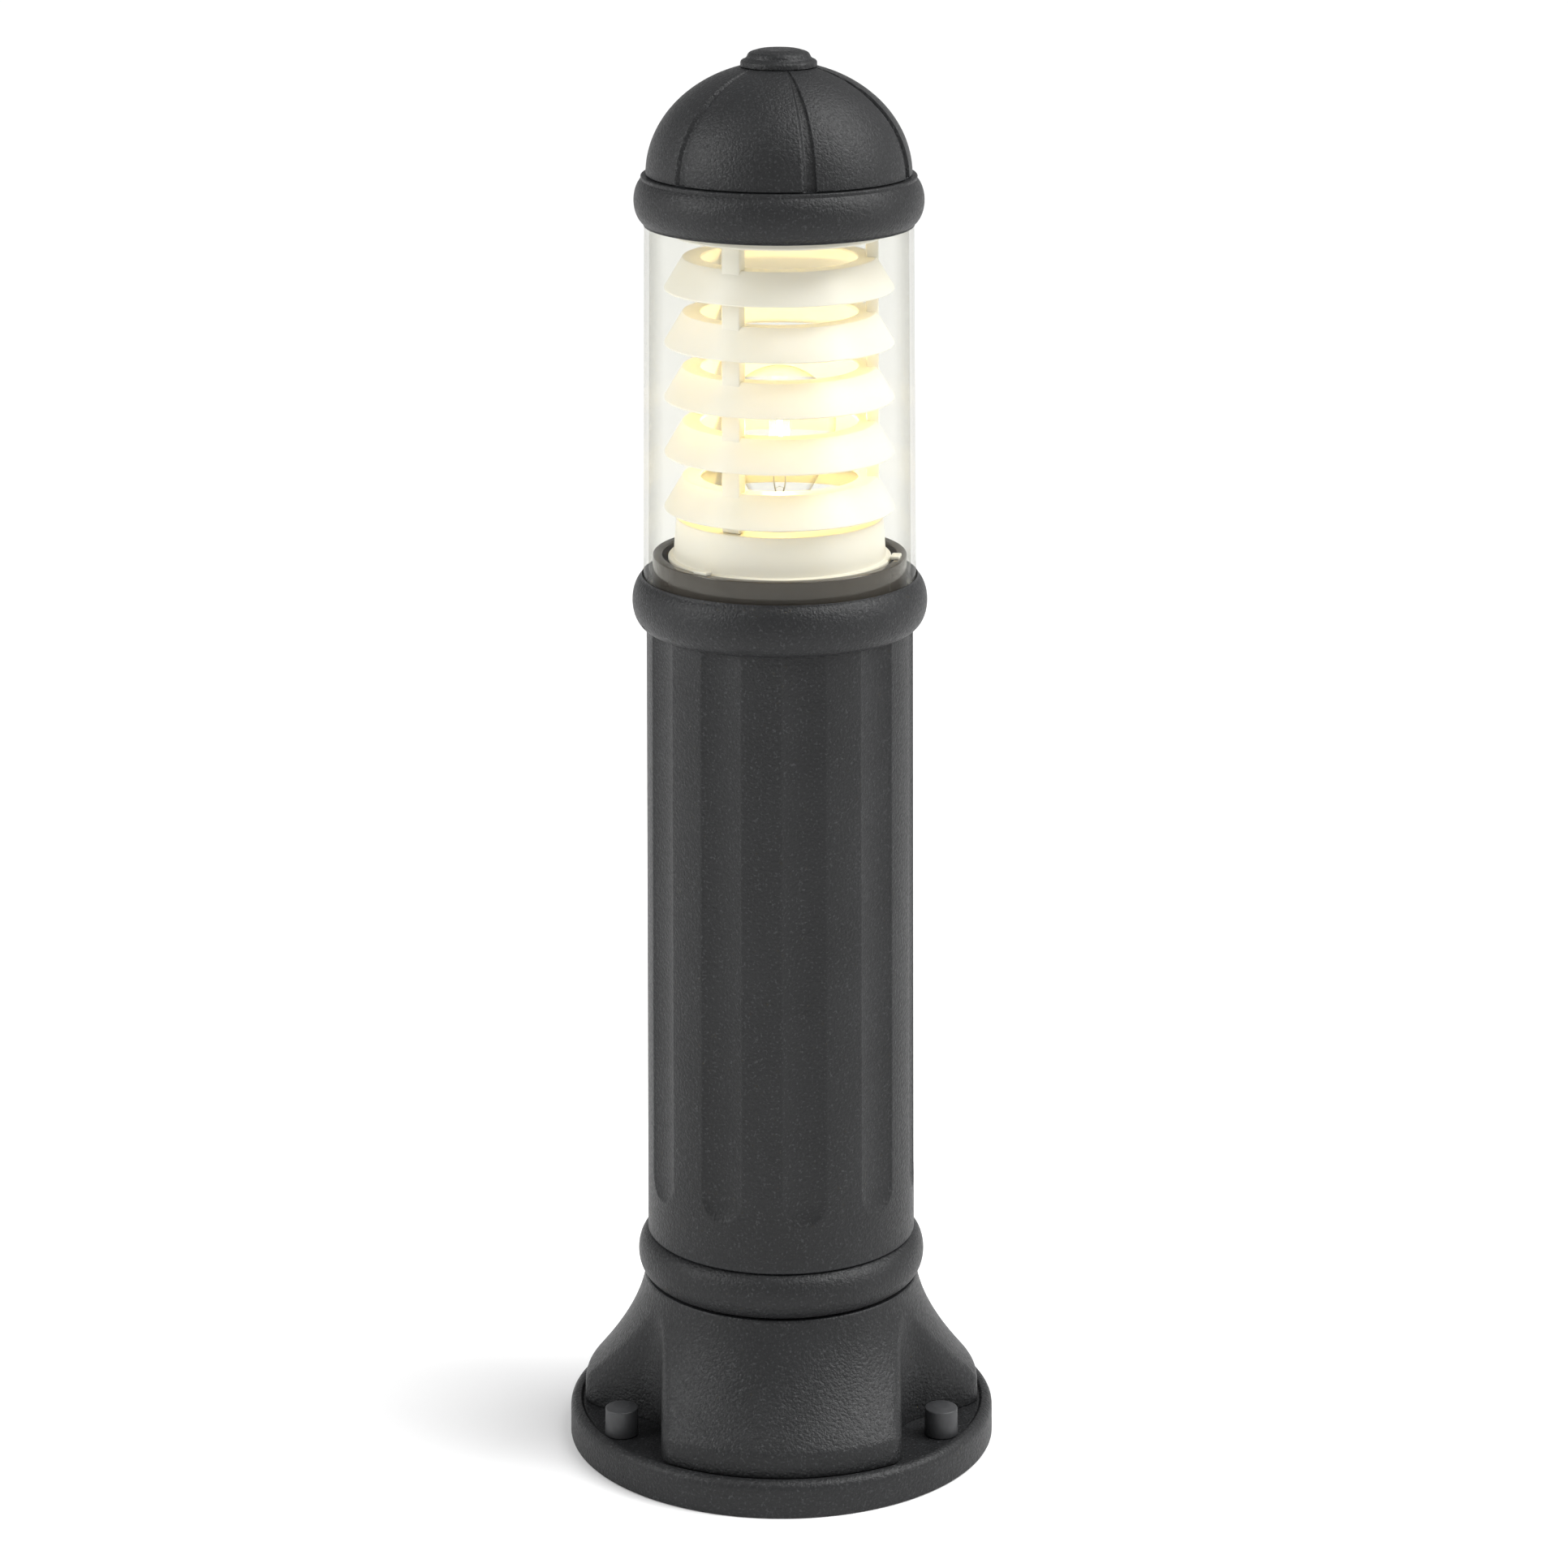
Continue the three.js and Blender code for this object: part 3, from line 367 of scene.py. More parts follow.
class Finish:
    """A material and short ways to wire its nodes."""

    def __init__(self, name, colour, roughness, metallic=0.0, specular=0.5):
        self.material = bpy.data.materials.new(name)
        self.material.use_nodes = True
        self.nodes = self.material.node_tree.nodes
        self.links = self.material.node_tree.links
        self.shader = self.nodes["Principled BSDF"]
        self.shader.inputs["Base Color"].default_value = (*colour, 1)
        self.shader.inputs["Roughness"].default_value = roughness
        self.shader.inputs["Metallic"].default_value = metallic
        self.shader.inputs["Specular IOR Level"].default_value = specular
        self.place = self.nodes.new("ShaderNodeTexCoord").outputs["Object"]
        self.output = self.nodes["Material Output"]

    def noise(self, size, detail=2.0, stretch=None):
        """Noise whose features are about `size` millimetres across."""
        node = self.nodes.new("ShaderNodeTexNoise")
        node.inputs["Scale"].default_value = 1 / (size * MM)
        node.inputs["Detail"].default_value = detail
        source = self.place
        if stretch:
            mapping = self.nodes.new("ShaderNodeMapping")
            mapping.inputs["Scale"].default_value = stretch
            self.links.new(source, mapping.inputs["Vector"])
            source = mapping.outputs["Vector"]
        self.links.new(source, node.inputs["Vector"])
        return node.outputs["Fac"]

    def between(self, value, start, end, first, last):
        """A value's range from start to end, carried over to first and last."""
        node = self.nodes.new("ShaderNodeMapRange")
        for socket, number in zip(node.inputs[1:5], (start, end, first, last)):
            socket.default_value = number
        self.links.new(value, node.inputs["Value"])
        return node.outputs["Result"]

    def blend(self, factor, first, second):
        """A colour between two, where each may be a colour or another node's output."""
        node = self.nodes.new("ShaderNodeMix")
        node.data_type = "RGBA"
        sockets = [s for s in node.inputs if s.type == "RGBA"]
        for socket, colour in zip(sockets, (first, second)):
            if isinstance(colour, tuple):
                socket.default_value = (*colour, 1)
            else:
                self.links.new(colour, socket)
        self.links.new(factor, node.inputs["Factor"])
        return next(s for s in node.outputs if s.type == "RGBA")

    def colour(self, output):
        self.links.new(output, self.shader.inputs["Base Color"])

    def roughness(self, output):
        self.links.new(output, self.shader.inputs["Roughness"])

    def bump(self, *layers):
        """Bump from (height output, depth in millimetres, strength) layers."""
        normal = None
        for height, depth, strength in layers:
            node = self.nodes.new("ShaderNodeBump")
            node.inputs["Distance"].default_value = depth * MM
            node.inputs["Strength"].default_value = strength
            self.links.new(height, node.inputs["Height"])
            if normal:
                self.links.new(normal, node.inputs["Normal"])
            normal = node.outputs["Normal"]
        self.links.new(normal, self.shader.inputs["Normal"])
        return normal

    def edge(self, start, end):
        """0 on flats to 1 on outward edges."""
        geometry = self.nodes.new("ShaderNodeNewGeometry")
        return self.between(geometry.outputs["Pointiness"], start, end, 0, 1)

    def mix_in(self, other, factor):
        """Mixes another shader output over the Principled one."""
        node = self.nodes.new("ShaderNodeMixShader")
        if isinstance(factor, float):
            node.inputs["Fac"].default_value = factor
        else:
            self.links.new(factor, node.inputs["Fac"])
        self.links.new(self.shader.outputs["BSDF"], node.inputs[1])
        self.links.new(other, node.inputs[2])
        self.links.new(node.outputs["Shader"], self.output.inputs["Surface"])


def powder_coat():
    """Fine-textured anthracite powder coat: a leathery grain, faint clouds, painted glints, rubbed
    edges.
    """
    f = Finish("powder_coat", (0.013, 0.0135, 0.0145), 0.5, specular=0.3)
    clouds = f.between(f.noise(45, 3), 0.35, 0.65, 0, 1)
    body = f.blend(clouds, (0.0085, 0.0088, 0.0094), (0.0115, 0.0119, 0.0127))
    # Painted glints: small lighter flecks in the base colour stand in for the sparkle the grain
    # catches in highlights.
    painted_glints = f.between(f.noise(1.3, 1), 0.58, 0.78, 0, 0.5)
    with_painted_glints = f.blend(painted_glints, body, (0.06, 0.062, 0.065))
    f.colour(f.blend(f.edge(0.53, 0.63), with_painted_glints, (0.035, 0.037, 0.04)))
    grain = f.noise(1.5, 2)
    f.roughness(f.between(grain, 0.3, 0.7, 0.4, 0.56))
    f.bump((f.noise(4.0, 2), 0.3, 0.3), (grain, 0.55, 0.9), (f.noise(0.9, 1), 0.3, 0.6))
    return f.material


def moulded_plastic(name, colour, roughness=0.5, grain=0.6, contrast=0.15):
    """A moulded or glazed skin: faint colour clouds and a fine grain."""
    f = Finish(name, colour, roughness)
    darker = tuple(c * (1 - contrast) for c in colour)
    lighter = tuple(min(1.0, c * (1 + contrast)) for c in colour)
    f.colour(f.blend(f.between(f.noise(14, 3), 0.35, 0.65, 0, 1), darker, lighter))
    f.roughness(f.between(f.noise(3, 2), 0.3, 0.7, roughness - 0.07, roughness + 0.07))
    f.bump((f.noise(grain, 2), 0.05, 0.25))
    return f.material


def louvre_plastic():
    """Satin warm-white plastic that lets a little of the lamp's light through."""
    f = Finish("louvre_plastic", (0.9, 0.88, 0.81), 0.38)
    clouds = f.between(f.noise(30, 2), 0.3, 0.7, 0, 1)
    f.colour(f.blend(clouds, (0.89, 0.87, 0.79), (0.92, 0.9, 0.84)))
    f.roughness(f.between(f.noise(2.5, 2), 0.3, 0.7, 0.32, 0.44))
    normal = f.bump((f.noise(6, 2), 0.04, 0.3))
    glow = f.nodes.new("ShaderNodeBsdfTranslucent")
    glow.inputs["Color"].default_value = (0.95, 0.86, 0.6, 1)
    f.links.new(normal, glow.inputs["Normal"])
    f.mix_in(glow.outputs["BSDF"], 0.14)
    return f.material


def clear_wall(name, pale, tint, gloss_roughness, rim_shade):
    """A thin clear wall: see-through, tinted and mirroring more where it curves away.

    pale is the clearest colour, tint the smudged one, and the last factor darkens the tint at the
    rim: painted shade on the wall's edges.
    """
    f = Finish(name, tint, gloss_roughness)
    f.roughness(f.between(f.noise(60, 1), 0.3, 0.7, gloss_roughness * 0.7, gloss_roughness * 1.4))
    clear = f.nodes.new("ShaderNodeBsdfTransparent")
    facing = f.nodes.new("ShaderNodeLayerWeight")
    facing.inputs["Blend"].default_value = 0.5
    rim = f.between(facing.outputs["Facing"], 0.5, 1.0, 0, 1)
    smudge = f.between(f.noise(80, 2), 0.35, 0.65, 0, 0.3)
    paler = f.blend(smudge, pale, tint)
    # Painted shade: the see-through colour turns darker towards the rim, where the wall curves away
    # from view.
    f.links.new(f.blend(rim, paler, tuple(c * rim_shade for c in tint)), clear.inputs["Color"])
    f.shader.inputs["Base Color"].default_value = (*[c * 0.5 for c in tint], 1)
    see = f.between(facing.outputs["Facing"], 0.55, 1.0, 0.975, 0.7)
    f.mix_in(clear.outputs["BSDF"], see)
    return f.material


def metal(name, colour, roughness, brushed=(1, 1, 1)):
    """Plated or plain metal with dull patches and fine scratches."""
    f = Finish(name, colour, roughness, metallic=1.0)
    dull = tuple(c * 0.72 for c in colour)
    f.colour(f.blend(f.between(f.noise(5, 3), 0.4, 0.7, 0, 1), colour, dull))
    f.roughness(f.between(f.noise(1.2, 3, brushed), 0.3, 0.7, roughness - 0.08, roughness + 0.12))
    f.bump((f.noise(0.8, 2, brushed), 0.03, 0.3))
    return f.material


def lit_filament():
    """The glowing coil."""
    f = Finish("lamp_filament", (1.0, 0.8, 0.45), 0.3)
    hot = f.blend(f.between(f.noise(3, 1), 0.3, 0.7, 0, 1), (1.0, 0.72, 0.34), (1.0, 0.86, 0.6))
    f.colour(hot)
    f.links.new(hot, f.shader.inputs["Emission Color"])
    f.shader.inputs["Emission Strength"].default_value = 60
    return f.material


finishes = {
    "powder_coat": powder_coat(),
    "cap_plastic": moulded_plastic("cap_plastic", (0.03, 0.031, 0.033), 0.48, 0.9, 0.12),
    "zinc_steel": metal("zinc_steel", (0.62, 0.63, 0.64), 0.32),
    "gallery_plastic": moulded_plastic("gallery_plastic", (0.042, 0.034, 0.026), 0.16, 9.0, 0.08),
    "louvre_plastic": louvre_plastic(),
    # The last number of each clear wall sets its painted rim shade.
    "clear_diffuser": clear_wall("clear_diffuser", (0.965, 0.965, 0.95), (0.93, 0.93, 0.905),
                                 0.05, 0.9),
    "lamp_glass": clear_wall("lamp_glass", (1.0, 1.0, 1.0), (0.95, 0.95, 0.94), 0.03, 0.62),
    "lamp_filament": lit_filament(),
    "nickel_cap": metal("nickel_cap", (0.72, 0.71, 0.68), 0.25, (1, 1, 8)),
    "brass": metal("brass", (0.78, 0.56, 0.26), 0.28),
    "holder_ceramic": moulded_plastic("holder_ceramic", (0.16, 0.075, 0.03), 0.22, 3.0, 0.2),
    "terminal_plastic": moulded_plastic("terminal_plastic", (0.78, 0.76, 0.70), 0.42, 1.5, 0.05),
    "black_rubber": moulded_plastic("black_rubber", (0.016, 0.016, 0.016), 0.75, 0.7, 0.25),
    "silicone": moulded_plastic("silicone", (0.62, 0.61, 0.57), 0.55, 1.5, 0.06),
    "wire_brown": moulded_plastic("wire_brown", (0.16, 0.06, 0.02), 0.4, 1.0, 0.1),
    "wire_blue": moulded_plastic("wire_blue", (0.03, 0.12, 0.4), 0.4, 1.0, 0.1),
    "wire_green": moulded_plastic("wire_green", (0.12, 0.32, 0.05), 0.4, 1.0, 0.1),
}
node_slots = {part["node"]: part["material_slot"] for part in frame["record"]["subparts"]}
for node, solid in frame["nodes"].items():
    solid.data.materials.clear()
    solid.data.materials.append(finishes[node_slots[node]])


# --- Base ---

def make_base_plate():
    """The round ground plate, with its raised rim, cable entry and fixing holes."""
    rim = PLATE_RADIUS - RIM_WIDTH
    bolt_hole, screw_hole, head_hole, head_depth, past = 3.6, 2.9, 5.1, 5.5, 2
    path = rounded([
        (ENTRY_RADIUS, 0, 0.6), (PLATE_RADIUS, 0, 0.9), (PLATE_RADIUS, PLATE_TOP, 4.2),
        (rim + 1.3, PLATE_TOP, 0.9), (rim, RECESS_FLOOR, 0.8), (ENTRY_RADIUS, RECESS_FLOOR, 0.6),
    ])
    plate = turned("ground_plate", path, "post", "powder_coat", columns=256)
    tools = []
    for k in (1, 2, 3):
        x, y, _ = centre(f"ground_bolt_{k}")
        tools.append(drill((x, y, -past), (x, y, PLATE_TOP + past), bolt_hole))
        x, y, _ = centre(f"base_screw_{k}")
        tools.append(drill((x, y, -past), (x, y, PLATE_TOP + past), screw_hole))
        tools.append(drill((x, y, -past), (x, y, head_depth), head_hole))
    cut_away(plate, *tools)
    shade(plate, 38)
    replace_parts(plate, "base_plate")


def lobe_reach(azimuth, side, valley_blend):
    """How far the three straight-sided lobes reach at an azimuth, in plan."""
    away = abs(nearest_turn(azimuth, 0, LOBES))
    own = side / max(math.sin(math.radians(away)), 0.2)
    neighbour = side / math.sin(math.radians(120 - away))
    return soft_max(own, neighbour, valley_blend)


def make_base_body():
    """The cast base: three lobes that sweep down from a round neck."""
    neck, bend, shoulder = (NECK_RADIUS, BASE_TOP), (75.5, 61.5), (99.6, 33.5)
    steps, toe_top, toe_fillet, chamfer = 40, 28.6, 6, 0.3
    valley_blend, crest_blend = 13.6, 9.0

    def flare(t):
        """A point on the sweep from the neck (t = 0) to the toe's shoulder (t = 1)."""
        return tuple((1 - t) ** 2 * a + 2 * t * (1 - t) * b + t * t * c
                     for a, b, c in zip(neck, bend, shoulder))

    toe = rounded([(60, BASE_BOTTOM), (LOBE_TOE_RADIUS, BASE_BOTTOM, 0.8),
                   (LOBE_TOE_RADIUS - 0.2, toe_top, toe_fillet), flare(0.97)], closed=False)
    outer = toe[1:-1] + [flare(1 - i / steps) for i in range(2, steps)]
    outer += [(NECK_RADIUS, BASE_TOP - 0.5)]
    inner = [
        (NECK_RADIUS - 0.5, BASE_TOP), (WEB_BORE + chamfer, BASE_TOP),
        (WEB_BORE, BASE_TOP - chamfer), (WEB_BORE, WEB_BOTTOM + chamfer),
        (WEB_BORE + chamfer, WEB_BOTTOM), (NECK_RADIUS - 6, WEB_BOTTOM),
    ]
    inner += [(r - 5.5, z - 2) for r, z in map(flare, (0.3, 0.5, 0.7, 0.85))]
    inner += [(LOBE_TOE_RADIUS - BASE_WALL, 22), (LOBE_TOE_RADIUS - BASE_WALL, BASE_BOTTOM)]
    outside = set(outer) | {(NECK_RADIUS - 0.5, BASE_TOP)}

    def lobed(azimuth, r, z):
        if r < NECK_RADIUS - 7:
            return r, z
        wall = 0 if (r, z) in outside else BASE_WALL
        reach = lobe_reach(azimuth, LOBE_HALF_WIDTH - wall, valley_blend)
        blend = min(crest_blend, 0.6 + 0.34 * max(0.0, r - NECK_RADIUS))
        return soft_min(r, reach, blend), z

    body = turned("cast_base", outer + inner, "post", "powder_coat", columns=480, relief=lobed)
    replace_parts(body, "base_body")


def make_bolt_cap(k, body):
    """A hollow push-on cap with a slightly domed top."""
    node = f"bolt_cap_{k}"
    x, y, _ = centre(node)
    bottom, top = span(node)
    radius = half_width(node)
    ceiling = top - 2.2
    path = rounded([
        (0, ceiling), (radius - 1.9, ceiling, 0.6), (radius - 1.5, bottom, 0.3),
        (radius, bottom, 0.4), (radius - 0.25, top - 1.3, 0.6), (radius * 0.5, top - 0.2, 4),
        (0, top),
    ], closed=False)
    cap = turned(f"{node}_fine", path, body, "cap_plastic", columns=64, offset=(x, y))
    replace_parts(cap, node)


def fastener(node, body, slot, shank, head, drive="socket", head_at="bottom", pitch=0.9):
    """A screw in its CAD node's place: threaded shank, and a head with a drive in it."""
    x, y, _ = centre(node)
    bottom, top = span(node)
    head_radius = half_width(node)
    flip = head_at == "top"
    length = top - bottom

    def upright(path):
        if not flip:
            return path
        return [(r, bottom + top - z) for r, z in path][::-1]

    socket = head_radius * 0.5
    start = bottom + head
    path = rounded([(0, bottom + head * 0.6), (socket, bottom + head * 0.6, 0.15),
                    (socket, bottom, 0.2), (head_radius, bottom, 0.4),
                    (head_radius, start, 0.3), (shank, start)], closed=False)
    path += [(shank, z) for z in spaced(start + 0.3, top - 0.8, pitch / 4)]
    path += [(shank, top - 0.8), (shank * 0.7, top), (0, top)]

    def threaded(azimuth, r, z):
        height = bottom + top - z if flip else z
        if abs(r - socket) < 1e-3 and drive == "socket":
            return hexagon(socket * 0.9, azimuth), z
        if abs(r - head_radius) < 0.45 and drive == "hex" and height < start:
            return hexagon(r * math.cos(math.pi / HEX_SIDES), azimuth), z
        if abs(r - shank) < 1e-6 and height > start + 0.2 and length > 3 * head / 2:
            return r - 0.09 * shank * (1 - thread_wave(azimuth, z, pitch)), z
        return r, z

    piece = turned(f"{node}_fine", upright(path), body, slot, columns=48, relief=threaded,
                   offset=(x, y), smooth_angle=32)
    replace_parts(piece, node)


def make_ground_bolt(k):
    """A flanged hex bolt, head up, under its cap."""
    node = f"ground_bolt_{k}"
    x, y, _ = centre(node)
    bottom, top = span(node)
    flange = half_width(node)
    seat = BASE_BOTTOM
    shank, pitch, half_spanner, corner = 3.0, 1.0, 5.0, 5.6
    path = [(0, bottom), (shank * 0.7, bottom), (shank, bottom + 0.8)]
    path += [(shank, z) for z in spaced(bottom + 1, seat - 0.4, pitch / 4)]
    path += rounded([
        (shank, seat - 0.2), (shank, seat), (flange, seat, 0.2), (flange, seat + 0.9, 0.3),
        (corner, seat + 1.7, 0.2), (corner, top - 0.4), (4.9, top), (0, top),
    ], closed=False)

    def shaped(azimuth, r, z):
        if abs(r - shank) < 1e-6 and bottom + 0.9 < z < seat - 0.3:
            return r - 0.25 * (1 - thread_wave(azimuth, z, pitch)), z
        if z > seat + 1.5 and 4 < r < 6:
            side = hexagon(half_spanner, azimuth)
            return min(side, r) if z > top - 0.2 else side, z
        return r, z

    bolt = turned(f"{node}_fine", path, "post", "zinc_steel", columns=60, relief=shaped,
                  offset=(x, y), smooth_angle=28)
    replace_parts(bolt, node)


def make_grommet():
    """The rubber cable inlet: a ribbed disc with a tapered spout."""
    bottom, top = span("cable_grommet")
    outer, bore = high("cable_grommet").x, 9
    path = rounded([
        (bore, bottom, 0.8), (outer, bottom, 1), (outer, bottom + 3, 0.4),
        (outer - 1.2, bottom + 4, 0.4), (outer, bottom + 5, 0.4), (outer, bottom + 8, 1),
        (14, bottom + 8, 1.5), (12, top, 1), (bore, top, 0.8),
    ])
    grommet = turned("cable_grommet_fine", path, "post", "black_rubber", columns=96)
    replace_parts(grommet, "cable_grommet")


make_base_plate()
make_base_body()
make_grommet()
for k, body in ((1, "cap_right"), (2, "cap_rear"), (3, "cap_left")):
    make_bolt_cap(k, body)
    make_ground_bolt(k)
    fastener(f"base_screw_{k}", "post", "zinc_steel", 2.5, 4.0)
    fastener(f"column_screw_{k}", "post", "zinc_steel", 2.5, 3.9)
    fastener(f"dome_screw_{k}", "head", "zinc_steel", 2.0, 3.2)
fastener("bracket_screw", "post", "zinc_steel", 2.0, 3.5, drive="hex")
fastener("earth_screw", "post", "brass", 1.8, 2.7, drive="hex")
for k in (1, 2):
    fastener(f"holder_screw_{k}", "post", "zinc_steel", 1.8, 2.4, head_at="top")


# --- Ring, column and collar ---

def make_lower_ring():
    """The bead between base and column, with a web inside that the screws pass through."""
    bottom, top = span("lower_ring")
    middle = (bottom + top) / 2
    half = (top - bottom) / 2
    bead, inside, bore, half_web = 68, 64, 48, 4
    path = [(inside, bottom)] + arc(bead, middle, high("lower_ring").x - bead, half, -82, 82, 26)
    path += rounded([
        (inside, top), (inside, middle + half_web, 1.5), (bore, middle + half_web, 0.8),
        (bore, middle - half_web, 0.8), (inside, middle - half_web, 1.5),
    ], closed=False)
    ring = turned("column_ring", path, "post", "powder_coat", columns=256)
    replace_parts(ring, "lower_ring")


def flute_depth(azimuth, z):
    """How deep the column's flutes are at a point of its skin."""
    across = math.radians(nearest_turn(azimuth, FLUTE_FIRST_AZIMUTH, FLUTES)) * COLUMN_RADIUS
    below = max(0.0, FLUTE_BOTTOM + FLUTE_HALF_WIDTH - z)
    away = math.hypot(across, below) / FLUTE_HALF_WIDTH
    if away >= 1:
        return 0.0
    return FLUTE_DEPTH * (1 - away * away) * smooth_step((1 - away) * 9)


def make_column():
    """The fluted column with its foot flange and its collar, one casting."""
    flange, flange_bore = COLUMN_BOTTOM + 7, 47
    foot = [(flange_bore, COLUMN_BOTTOM), (COLUMN_FOOT_RADIUS - 0.4, COLUMN_BOTTOM),
            (COLUMN_FOOT_RADIUS, COLUMN_BOTTOM + 0.5)]
    scoops_low, scoops_high = FLUTE_BOTTOM - 2, FLUTE_BOTTOM + 15
    heights = spaced(112, scoops_low, 6) + spaced(scoops_low, scoops_high, 0.6)
    heights += spaced(scoops_high, FLUTE_TOP, 14) + [FLUTE_TOP]
    widening = (COLUMN_RADIUS - COLUMN_FOOT_RADIUS) / 320
    skin = [(COLUMN_FOOT_RADIUS + widening * (z - COLUMN_BOTTOM), z) for z in heights]
    collar = [(COLUMN_RADIUS, FLUTE_TOP + 0.1)]
    collar += arc(COLLAR_RADIUS - BEAD_WIDTH, COLLAR_MID, BEAD_WIDTH, BEAD_HALF_HEIGHT, -76, 58, 34)
    inside = rounded([
        (SEAT_RADIUS + 0.6, COLUMN_TOP, 0.3), (SEAT_RADIUS, COLUMN_TOP, 0.2),
        (SEAT_RADIUS, SEAT_FLOOR, 0.6), (COLUMN_BORE, SEAT_FLOOR, 0.5),
        (COLUMN_BORE, flange, 3), (flange_bore, flange, 0.6),
    ])

    def fluted(azimuth, r, z):
        if r > 69 and z <= FLUTE_TOP:
            return r - flute_depth(azimuth, z), z
        return r, z

    column = turned("fluted_column", foot + skin + collar + inside, "post", "powder_coat",
                    columns=720, relief=fluted)
    tools = []
    for azimuth in SET_SCREW_AZIMUTHS.values():
        inner, outer = (place(r, azimuth, SET_SCREW_HEIGHT) for r in (60, 82))
        tools.append(drill(inner, outer, SET_SCREW_HOLE))
    cut_away(column, *tools)
    shade(column, 32)
    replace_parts(column, "column")


def make_set_screw(side):
    """A socket grub screw that lies along its azimuth below the collar."""
    azimuth = SET_SCREW_AZIMUTHS[side]
    radius, socket, length, pitch = SET_SCREW_RADIUS, 1.0, 4.4, 0.8
    path = [(0, 1.6), (socket, 1.6), (socket, 0), (radius - 0.3, 0), (radius, 0.3)]
    path += [(radius, z) for z in spaced(0.4, length - 0.4, pitch / 4)]
    path += [(radius - 0.4, length), (0, length)]

    def threaded(angle, r, z):
        if r == radius and 0.35 < z < length - 0.3:
            return r - 0.12 * (1 - thread_wave(angle, z, pitch)), z
        if r == socket:
            return hexagon(socket * 0.9, angle), z
        return r, z

    screw = turned(f"set_screw_{side}_fine", path, "post", "zinc_steel", columns=36,
                   relief=threaded)
    outer = place(69.9, azimuth, SET_SCREW_HEIGHT) * MM
    inward = place(-1, azimuth)
    lay = Matrix.Translation(outer) @ inward.to_track_quat("Z", "Y").to_matrix().to_4x4()
    screw.data.transform(lay)
    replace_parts(screw, f"set_screw_{side}")


make_lower_ring()
make_column()
for side in SET_SCREW_AZIMUTHS:
    make_set_screw(side)


# --- Gallery, lampholder, wiring ---

def make_gallery():
    """The dark ring that carries the louvre: a skirt in the column, a shelf and three lugs."""
    top, outer = 463.7, high("gallery_ring").x
    skirt_inner, skirt_outer, skirt_bottom = 61.6, 64.8, 421.2
    wall_inner, shelf_bore, shelf_top, shelf_bottom = 62.5, 24, 446, 443.1
    path = rounded([
        (skirt_inner, skirt_bottom, 0.4), (skirt_outer, skirt_bottom, 0.4),
        (skirt_outer, 443, 0.4), (outer, 443, 0.6), (outer, top, 0.7), (wall_inner, top, 0.7),
        (wall_inner, shelf_top, 0.8), (shelf_bore, shelf_top, 0.6),
        (shelf_bore, shelf_bottom, 0.4), (skirt_inner, shelf_bottom, 0.8),
    ])
    gallery = turned("gallery_ring_fine", path, "post", "gallery_plastic", columns=256)
    lug_size, lug_reach = (9, 5.0, 1.9), 62.4
    for k, azimuth in enumerate((-40, 80, 200)):
        lug = slab(f"gallery_lug_{k + 1}", lug_size, (0, -lug_reach, top + 0.45), "post",
                   "louvre_plastic", bevel=0.6, turn=azimuth)
        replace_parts(lug, "gallery_ring")
    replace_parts(gallery, "gallery_ring")


def make_lampholder():
    """The E27 lampholder: a ceramic body with a threaded brass shell inside."""
    bottom, top = span("lampholder_body")
    waist, flange, bore, floor = 21, 25, 14.8, bottom + 3.4
    path = rounded([
        (0, bottom), (17, bottom, 1), (waist, bottom + 6, 1.5), (waist, top - 7.5, 1),
        (flange, top - 5.5, 0.8), (flange, top, 1.2), (19.4, top, 1), (bore, top - 2, 0.5),
        (bore, floor, 0.5), (0, floor),
    ], closed=False)
    holder = turned("lampholder_body_fine", path, "post", "holder_ceramic", columns=96)
    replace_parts(holder, "lampholder_body")
    shell_low, shell_high = span("lampholder_shell")
    inner = [(13.55, z) for z in spaced(shell_high - 0.4, shell_low + 0.4, 0.45)]
    outer = [(14.2, z) for z in spaced(shell_low + 0.4, shell_high - 0.4, 0.45)]

    def threaded(azimuth, r, z):
        return r + 0.14 * thread_wave(azimuth, z, E27_PITCH), z

    path = outer + [(14.0, shell_high), (13.7, shell_high)]
    path += inner + [(13.7, shell_low), (14.0, shell_low)]
    shell = turned("lampholder_shell_fine", path, "post", "brass", columns=72, relief=threaded)
    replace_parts(shell, "lampholder_shell")


def rolled(node, body, slot, fillet):
    """A sealing ring in its CAD node's place, with rounded corners."""
    bottom, top, inner, outer = low(node).z, high(node).z, 68.4, high(node).x
    path = rounded([(inner, bottom, fillet), (outer, bottom, fillet), (outer, top, fillet),
                    (inner, top, fillet)])
    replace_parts(turned(f"{node}_fine", path, body, slot, columns=192), node)


def make_wire(kind, x, end_x, end_y, slot):
    """A wire from the terminal block up the back of the column to the lampholder."""
    node = f"wire_{kind}"
    bottom, top = span(node)
    points = [(x, 28.5, bottom), (x, 27.5, 90), (x * 0.9, 24, 180), (x * 0.8, 23, 300),
              (x * 0.7, 22, 395), (x * 0.7, 20.5, 421), (end_x, end_y, 437), (end_x, end_y, top)]
    wire = rod(f"{node}_fine", smooth_route(points, 10), WIRE_RADIUS, "post", slot)
    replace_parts(wire, node)


make_gallery()
make_lampholder()
rolled("diffuser_gasket", "post", "silicone", 0.9)
rolled("cap_gasket", "head", "silicone", 0.9)
make_wire("live", -12, -6, 0, "wire_brown")
make_wire("neutral", 12, 6, 0, "wire_blue")
make_wire("earth", 0, 0, 18, "wire_green")


